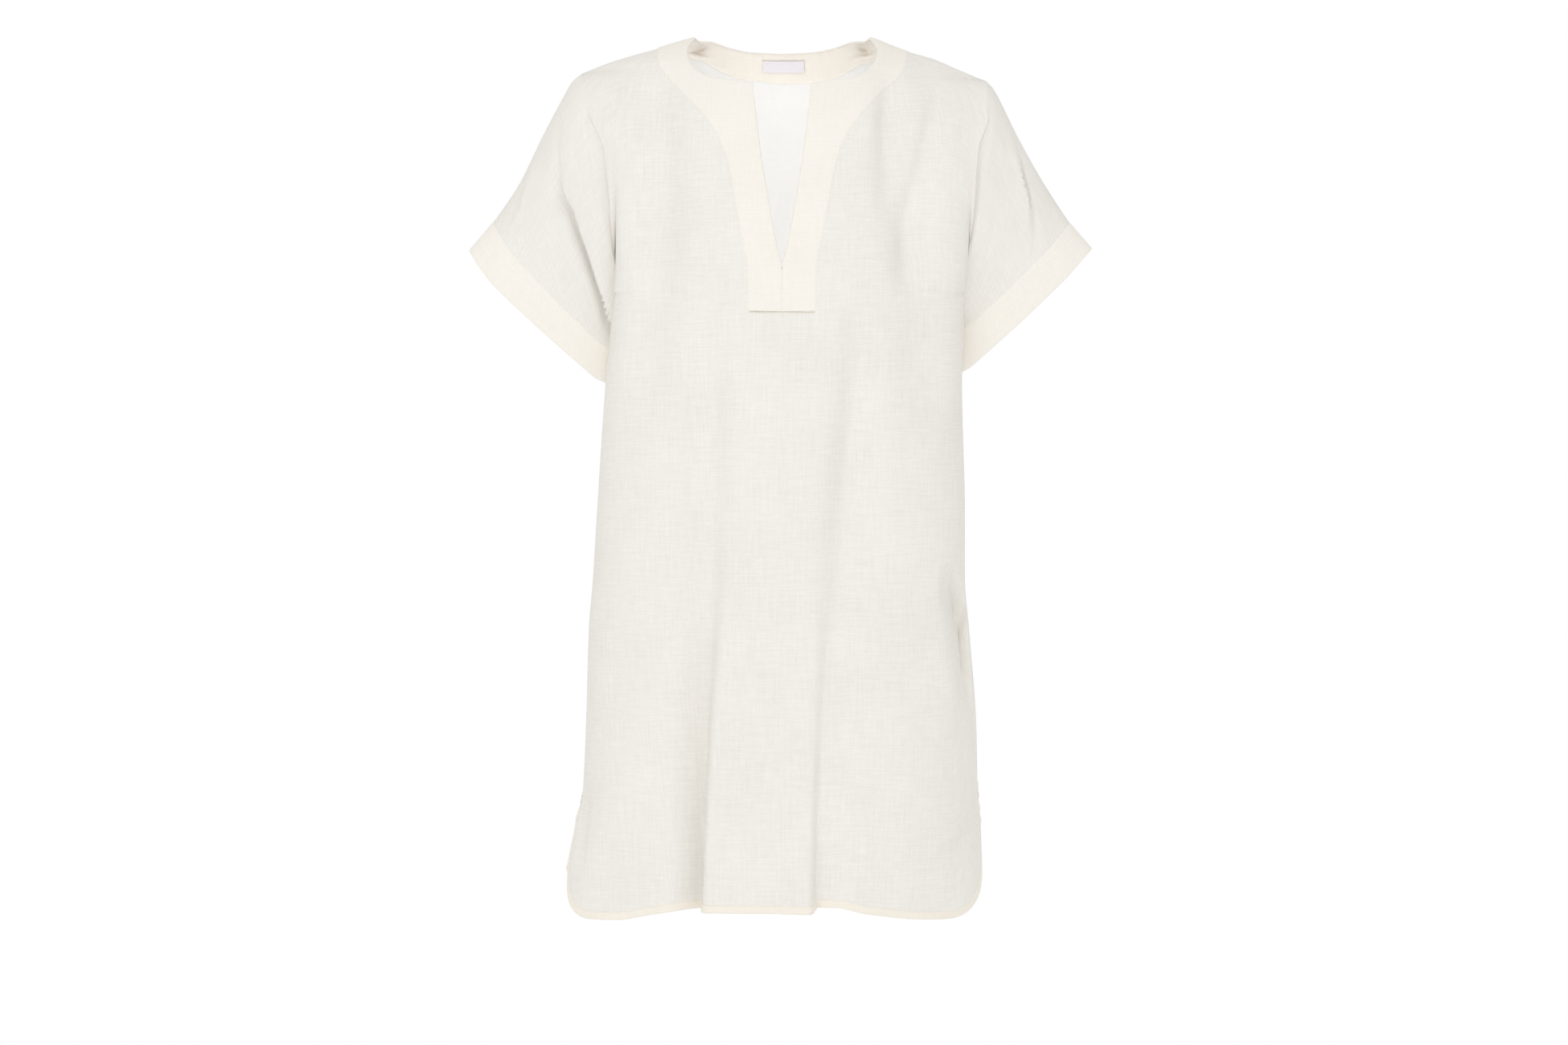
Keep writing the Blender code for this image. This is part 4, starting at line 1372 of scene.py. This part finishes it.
def climb(net, start, sign):
    """The way up or down each column of a net from its first row."""
    runs = [run_of(column, (1, 2)) for column in zip(*net)]
    return [[begin + sign * run[row] for begin, run in zip(start, runs)] for row in range(len(net))]


print("a step of 3 and 4 measures", run_of([(0, 0), (3, 4)], (0, 1))[-1])

# %% Panels
PANEL_CLOTH = 0.0006


def panel_piece(panel):
    """A whole panel, front or back: the yoke, the skirt and the sleeve of each side."""
    bm = bmesh.new()
    for side, hand in HAND.items():
        columns = NET[panel, side]
        begin = CENTRE_CELLS if panel == "front" else 0
        upper, last = columns[begin:], len(columns) - EDGE_CELLS
        ends = [hem_of(panel, side, column) for column in columns]
        yoke = [
            [body_point(panel, side, *yoke_place(panel, side, column, down)) for column in upper]
            for down in YOKE
        ]
        skirt = [
            [skirt_point(panel, side, column, end, down) for column, end in zip(columns, ends)]
            for down in SKIRT
        ]
        sleeve = [
            [sleeve_point(panel, side, k / SLEEVE_CELLS, around) for k in range(SLEEVE_CELLS + 1)]
            for around in YOKE
        ]
        # the spots on the weave: u runs across the dress and out along the sleeve, and v upwards
        skirt_u = [[hand * u for u in run_of(row, (0, 1))] for row in skirt]
        yoke_u = [[hand * (abs(row[0].x - CENTRE) + u) for u in run_of(row, (0, 1))] for row in yoke]
        sleeve_u = [
            [start[-1] + hand * u for u in run_of(row, (0, 1, 2))] for start, row in zip(yoke_u, sleeve)
        ]
        skirt_v = climb(skirt, [point.z for point in skirt[0]], -1)
        yoke_v = climb(yoke[::-1], [point.z for point in yoke[-1]], 1)[::-1]
        sleeve_v = [[row[-1]] * (SLEEVE_CELLS + 1) for row in yoke_v]
        lay_net(bm, yoke, yoke_u, yoke_v)
        lay_net(bm, skirt[:SKIRT_ROWS + 1], skirt_u, skirt_v)
        lay_net(bm, [row[:last] for row in skirt[SKIRT_ROWS:]], skirt_u[SKIRT_ROWS:], skirt_v[SKIRT_ROWS:])
        lay_net(bm, sleeve, sleeve_u, sleeve_v)
    bmesh.ops.remove_doubles(bm, verts=bm.verts, dist=SAME_SPOT)
    face_out(bm, Vector((0, FACE[panel], 0)))
    make_wall(bm, PANEL_CLOTH)
    return finish_piece(bm, "linen_" + panel, PANEL_LINEN, [panel + "_panel"], INNER_LINEN_PAINTED_LIGHT)


front = panel_piece("front")
back = panel_piece("back")

# %% [markdown]
# ## The neck bands
#
# The band is cut to the shape of the neck, doubled, and sewn round the edge of the panels. In
# front it comes in two halves, which run down beside the slit and meet at the centre below it.
# Its edges are folds, so they are soft: the lines near them bend down to the cloth. At the seam
# the band stands a little above the panel, and the panel's edge goes in under it.

# %% Bands from a strip
BAND_CLOTH = 0.0014
# The lines near each edge of a band: how far from the edge, and how high above the form.
SEAM_LINES = ((-0.0009, -0.0001), (-0.0004, 0.0003), (0.0004, 0.00055), (0.0020, 0.0006))
FOLD_LINES = ((0.0030, 0.0006), (0.0012, 0.0005), (0.0004, 0.0002), (0.0, -0.0004))
INNER_LINES = 16


def strip_lines(width):
    """Shares of a band's width, from its seam to its fold, and their heights above the form."""
    lines = [(away / width, height) for away, height in SEAM_LINES]
    start, end = SEAM_LINES[-1][0] / width, 1 - FOLD_LINES[0][0] / width
    lines += [(mix(start, end, k / INNER_LINES), SEAM_LINES[-1][1]) for k in range(1, INNER_LINES)]
    return lines + [(1 - away / width, height) for away, height in FOLD_LINES]


STRIP_ROWS = len(SEAM_LINES) + INNER_LINES - 1 + len(FOLD_LINES) - 1
print("a band has", STRIP_ROWS, "rows of cells across it")

# %% The front bands
BAND_CORNER = 0.60  # the shares of the front band at which the slit ends above
BAND_FOOT = 0.15  # and below
MEET_OVERLAP = 0.0003  # below the slit the two halves touch
FOOT_DROP = 0.0008  # the band's foot covers the edge of the panel


def band_inner(side, t):
    """The front band's inner edge: 0 at the placket's foot, then the slit and the neckline."""
    if t <= BAND_FOOT:
        return -MEET_OVERLAP, mix(PLACKET_FOOT, SLIT_FOOT, t / BAND_FOOT)
    if t <= BAND_CORNER:
        z = mix(SLIT_FOOT, NECKLINE["front"]["z"][0], (t - BAND_FOOT) / (BAND_CORNER - BAND_FOOT))
        return read(SLIT, "z", "half", z), z
    t = (t - BAND_CORNER) / (1 - BAND_CORNER)
    return read(NECKLINE["front"], "t", "x", t), read(NECKLINE["front"], "t", "z", t)


def front_band(side):
    """Half of the placket and of the neck's front."""
    columns = NET["front", side]
    rising = YOKE[::-1]
    outer = [yoke_place("front", side, columns[CENTRE_CELLS], down) for down in rising]
    inner = [band_inner(side, BAND_CORNER * (1 - down)) for down in rising]
    for k in range(1, NECK_CELLS + 1):
        outer.append(yoke_place("front", side, columns[CENTRE_CELLS + k], 0.0))
        inner.append(band_inner(side, mix(BAND_CORNER, 1.0, neck_share(k / NECK_CELLS))))

    def place(row, station):
        (outer_half, outer_z), (inner_half, inner_z) = outer[station], inner[station]
        width = math.hypot(outer_half - inner_half, outer_z - inner_z)
        share, height = strip_lines(width)[row]
        half, z = mix(outer_half, inner_half, share), mix(outer_z, inner_z, share)
        if station == 0:
            z -= FOOT_DROP
        if station == len(outer) - 1:
            z = read(RIDGE, "x", side, half)
        point = body_point("front", side, half, z)
        return point, (point.x, z), height

    bm = bmesh.new()
    add_grid(bm, STRIP_ROWS, len(outer) - 1, place)
    face_out(bm, Vector((0, -1, 0)))
    make_wall(bm, BAND_CLOTH)
    return finish_piece(bm, "placket_" + side, BAND_LINEN, ["neck_band_" + side])


placket_left = front_band("left")
placket_right = front_band("right")

# %% [markdown]
# ## The back of the neck
#
# Behind, the band is one piece from shoulder to shoulder, and its inside is what shows in the
# neck. Where it meets the front bands the cloth is turned hard, so creases fan out from the
# shoulder into the band, and a small pocket lies in the corner itself.

# %% Creases in the back band
PUCKERS = table(
    "start_x start_z end_x end_z",
    (0.0930, -0.0076, 0.0790, -0.0042),
    (0.0920, -0.0094, 0.0760, -0.0130),
)
PUCKER_DEPTH = 0.0038
PUCKER_WIDTH = 0.0020
POCKET_X, POCKET_Z = 0.0885, -0.0035
POCKET_DEPTH = 0.0160
POCKET_RADIUS = 0.0080
PUCKER_FADE = 0.3  # how far past its ends a crease dies out, as a share of its length
START_RATE, END_RATE = 3, 2  # how fast a crease begins and ends
RIDGE_FADE = 0.0015
SEAM_FADE = 3  # the creases die out over a third of the band, towards its seam


def puckers(side, half, z):
    """How far the creases and the pocket push the band out, away from the neck."""
    spot = math.hypot(half - POCKET_X, z - POCKET_Z) / POCKET_RADIUS
    total = POCKET_DEPTH * math.exp(-spot ** 2)
    for start_x, start_z, end_x, end_z in zip(*PUCKERS.values()):
        share = (start_x - half) / (start_x - end_x)
        away = (z - mix(start_z, end_z, share)) / PUCKER_WIDTH
        ends = ease((1 + PUCKER_FADE - share) * END_RATE) * ease((share + PUCKER_FADE) * START_RATE)
        total += PUCKER_DEPTH * math.exp(-away ** 2) * ends
    return total * ease((read(RIDGE, "x", side, half) - z) / RIDGE_FADE)


print("the pocket pushes the band out by", round(puckers("left", POCKET_X, POCKET_Z), 4), "m")

# %% The back band


def back_band_point(share, station):
    """The back neck band's outer face; station 0 is the centre, negative ones are on the left."""
    side = "left" if station < 0 else "right"
    column = NET["back", side][abs(station)]
    outer_half, outer_z = yoke_place("back", side, column, 0.0)
    t = neck_share(1.0 if column[2] is None else column[2])
    inner_half, inner_z = read(NECKLINE["back"], "t", "x", t), read(NECKLINE["back"], "t", "z", t)
    half, z = mix(outer_half, inner_half, share), mix(outer_z, inner_z, share)
    if column[2] is None:
        z = read(RIDGE, "x", side, half)
    out = puckers(side, half, z) * ease(share * SEAM_FADE)
    return body_point("back", side, half, z) + Vector((0, out, 0))


def back_band():
    """The band across the back, whose inside shows in the neck."""
    reach = CENTRE_CELLS + NECK_CELLS
    bm = bmesh.new()

    def place(row, column):
        station = column - reach
        width = (back_band_point(0.0, station) - back_band_point(1.0, station)).length
        share, height = strip_lines(width)[row]
        point = back_band_point(share, station)
        return point, (point.x, point.z), height

    add_grid(bm, STRIP_ROWS, 2 * reach, place)
    face_out(bm, Vector((0, 1, 0)))
    make_wall(bm, BAND_CLOTH)
    return finish_piece(bm, "neck_facing", FACING_LINEN_PAINTED_SHADE, ["neck_band_back"])


facing = back_band()

# %% [markdown]
# ## The cuffs
#
# Each sleeve ends in a straight strip of doubled cloth that is turned up and sewn to it. It goes
# all the way round, so its net is closed into a ring. Its free edge is a fold, like the neck's.

# %% Cuffs
CUFF_ROUND = 0.2  # half the way round a cuff, on the weave


def cuff(side):
    """A cuff's ring, from the sleeve's seam to its fold."""
    length = (sleeve_point("front", side, 1.0, 0.5) - sleeve_point("front", side, 2.0, 0.5)).length
    lines = strip_lines(length)
    around = len(YOKE) - 1

    def place(row, column):
        panel = "front" if column <= around else "back"
        turn = YOKE[column] if column <= around else YOKE[2 * around - column]
        share, height = lines[row]
        point = sleeve_point(panel, side, 1.0 + share, turn)
        return point, (CUFF_ROUND * (turn if panel == "front" else 2 - turn), share * length), height

    bm = bmesh.new()
    add_grid(bm, STRIP_ROWS, 2 * around, place)
    bmesh.ops.remove_doubles(bm, verts=bm.verts, dist=SAME_SPOT)
    bmesh.ops.recalc_face_normals(bm, faces=bm.faces)
    front_face = min(bm.faces, key=lambda face: face.calc_center_median().y)
    if front_face.normal.y > 0:
        bmesh.ops.reverse_faces(bm, faces=bm.faces)
    make_wall(bm, BAND_CLOTH)
    return finish_piece(bm, "sleeve_cuff_" + side, BAND_LINEN, ["cuff_" + side])


cuff_left = cuff("left")
cuff_right = cuff("right")

# %% [markdown]
# ## The hem tape
#
# The raw edge of the hem goes into a narrow tape that is folded over it from both sides. The
# tape follows the edge round both corners and up the vents. We sweep a flat rounded section along
# the edge: at each step it is turned so that it lies in the cloth.

# %% The edge that the tape follows


def hem_edge(panel, side):
    """The panel's free edge, from the centre of the hem to the top of the vent.

    Each item is a point of the edge and the next point in from it."""
    columns = NET[panel, side]
    last = len(columns) - 1 - EDGE_CELLS
    ends = [hem_of(panel, side, column) for column in columns]

    def at(column, row):
        return skirt_point(panel, side, columns[column], ends[column], SKIRT[row])

    foot = len(SKIRT) - 1
    edge = [(at(k, foot), at(k, foot - 1)) for k in range(last + 1)]
    return edge + [(at(last, row), at(last - 1, row)) for row in range(foot - 1, SKIRT_ROWS - 1, -1)]


print(len(hem_edge("front", "left")), "points from the hem's centre to the top of a vent")

# %% Tape along the hem
TAPE_OVERLAP = 0.0012
TAPE_THICK = 0.0019
TAPE_POINTS = 14
TAPE_SQUARE = 0.6  # the section's corners: 1 is an ellipse, and less is squarer
TAPE_ROUND = 0.017  # the way round the section, on the weave
RING_SPOT = 1e-6  # the ring's last corners are joined to its first


def hem_tape(panel):
    """The tape of one panel, from the top of one vent along the hem to the top of the other."""
    left, right = hem_edge(panel, "left"), hem_edge(panel, "right")
    edge = left[:0:-1] + right
    points = [point for point, _ in edge]
    run = run_of(points, (0, 1, 2))
    middle = (TAPE_WIDTH - TAPE_OVERLAP) / 2
    half_width = (TAPE_WIDTH + TAPE_OVERLAP) / 2

    def place(row, station):
        point, inner = edge[station]
        before, after = points[max(station - 1, 0)], points[min(station + 1, len(edge) - 1)]
        along = (after - before).normalized()
        away = point - inner
        away = (away - along * away.dot(along)).normalized()
        out = along.cross(away)
        if out.y * FACE[panel] < 0:
            out.negate()
        angle = 2 * math.pi * row / TAPE_POINTS
        flat, rise = math.cos(angle), math.sin(angle)
        reach = middle + half_width * math.copysign(abs(flat) ** TAPE_SQUARE, flat)
        height = TAPE_THICK / 2 * math.copysign(abs(rise) ** TAPE_SQUARE, rise) - PANEL_CLOTH / 2
        return point + away * reach + out * height, (run[station], row / TAPE_POINTS * TAPE_ROUND), 0.0

    bm = bmesh.new()
    add_grid(bm, TAPE_POINTS, len(edge) - 1, place)
    bmesh.ops.remove_doubles(bm, verts=bm.verts, dist=RING_SPOT)
    ends = [rim for rim in bm.edges if rim.is_boundary]
    bmesh.ops.holes_fill(bm, edges=ends, sides=TAPE_POINTS)
    bmesh.ops.recalc_face_normals(bm, faces=bm.faces)
    return finish_piece(bm, "hem_tape_" + panel, TAPE_LINEN, ["hem_binding_" + panel])


tape_front = hem_tape("front")
tape_back = hem_tape("back")

# %% [markdown]
# ## The label
#
# A small satin label is sewn to the inside of the neck band, by its two short ends. It is left
# bare. It follows the band's curve, a hair's breadth in front of it.

# %% Label
LABEL_HALF = 0.0216
LABEL_SHIFT = 0.0014
LABEL_TOP = -0.0145
LABEL_FOOT = -0.0253
LABEL_CLOTH = 0.0005
LABEL_GAP = 0.0002
LABEL_BELLY = 0.0005
LABEL_COLUMNS, LABEL_ROWS = 24, 8


def label():
    """The bare label, which bellies a little between its two ends."""

    def place(row, column):
        across = mix(-1, 1, column / LABEL_COLUMNS)
        x = LABEL_SHIFT + across * LABEL_HALF
        half, side = abs(x), "left" if x < 0 else "right"
        z = mix(LABEL_FOOT, LABEL_TOP, row / LABEL_ROWS)
        point = body_point("back", side, half, z)
        inside = BAND_CLOTH + LABEL_GAP + LABEL_BELLY * (1 - across ** 4)
        return point, (across * LABEL_HALF, z), -inside

    bm = bmesh.new()
    add_grid(bm, LABEL_ROWS, LABEL_COLUMNS, place)
    face_out(bm, Vector((0, 1, 0)))
    make_wall(bm, LABEL_CLOTH)
    return finish_piece(bm, "satin_label", LABEL_SATIN, ["neck_label"])


satin_label = label()

# %% [markdown]
# ## Stitches
#
# A row of small stitches in a darker thread runs just under the placket's foot; their dark line is
# painted shadow, for the shade under the foot's edge. A bar of thread closes the tip of the slit,
# and two stitches hold the label's upper corners. Each is a small rounded bead of thread, half
# sunk in the cloth.

# %% One stitch
BEAD_SIDES, BEAD_RINGS = 10, 8
BEAD_FLAT = 0.9


def stitch(bm, point, length, half_width, slant=0.0):
    """Adds one stitch that lies across the dress at a point."""
    shape = Matrix.Diagonal((length / 2, half_width * BEAD_FLAT, half_width, 1.0))
    turned = Matrix.Translation(point) @ Matrix.Rotation(slant, 4, "Y") @ shape
    bmesh.ops.create_uvsphere(
        bm, u_segments=BEAD_SIDES, v_segments=BEAD_RINGS, radius=1.0, matrix=turned
    )


print("a stitch has", BEAD_SIDES * BEAD_RINGS, "faces")

# %% Stitches
STITCH_LENGTH = 0.0038
STITCH_HALF = 0.00038  # half the thread's width
FOOT_SHADOW_STITCHES = 17
FOOT_GAP = 0.0014  # from the placket's foot down to the row
ROW_WAVE, ROW_TURNS = 0.0003, 40  # the row that paints the shadow waves a little, so it is not quite straight
STITCH_PROUD = 0.0003
TACK_LENGTH, TACK_HALF = 0.0030, 0.0005
TACK_GAP = 0.0035  # from the slit's tip down to the tack
TACK_PROUD = 0.0008
CORNER_LENGTH, CORNER_HALF = 0.0022, 0.0004
CORNER_INSET = 0.0012  # from the label's ends
CORNER_GAP = 0.0007  # and from its upper edge
CORNER_PROUD = 0.0004


def stitches():
    """All the thread that shows, as one piece, with the darker row under the placket's foot as painted
    shadow.
    """
    bm = bmesh.new()
    bm.loops.layers.uv.new("weave")
    # The row under the placket's foot: darker thread as painted shadow under the foot's edge.
    for k in range(FOOT_SHADOW_STITCHES):
        x = mix(-PLACKET_HALF, PLACKET_HALF, (k + 0.5) / FOOT_SHADOW_STITCHES)
        side = "left" if x < 0 else "right"
        z = PLACKET_FOOT - FOOT_GAP - ROW_WAVE * math.sin(ROW_TURNS * x)
        point = body_point("front", side, abs(x), z)
        stitch(bm, point - Vector((0, STITCH_PROUD, 0)), STITCH_LENGTH, STITCH_HALF)
    tip = body_point("front", "left", 0.0, SLIT_FOOT - TACK_GAP)
    stitch(bm, tip - Vector((0, TACK_PROUD, 0)), TACK_LENGTH, TACK_HALF, math.pi / 2)
    for hand in HAND.values():
        x = LABEL_SHIFT + hand * (LABEL_HALF - CORNER_INSET)
        point = body_point("back", "left" if x < 0 else "right", abs(x), LABEL_TOP - CORNER_GAP)
        away = BAND_CLOTH + LABEL_CLOTH + CORNER_PROUD
        stitch(bm, point - Vector((0, away, 0)), CORNER_LENGTH, CORNER_HALF)
    bmesh.ops.recalc_face_normals(bm, faces=bm.faces)
    return finish_piece(bm, "stitches", THREAD_AND_PAINTED_SHADOW, None)


stitches()

# %% [markdown]
# ## How much cloth
#
# A sheet of cloth has a size before it is sewn; here each piece has only printed, as it was made,
# the area of its outer face.

# %% Sheets
print("each piece of cloth has printed its area above")
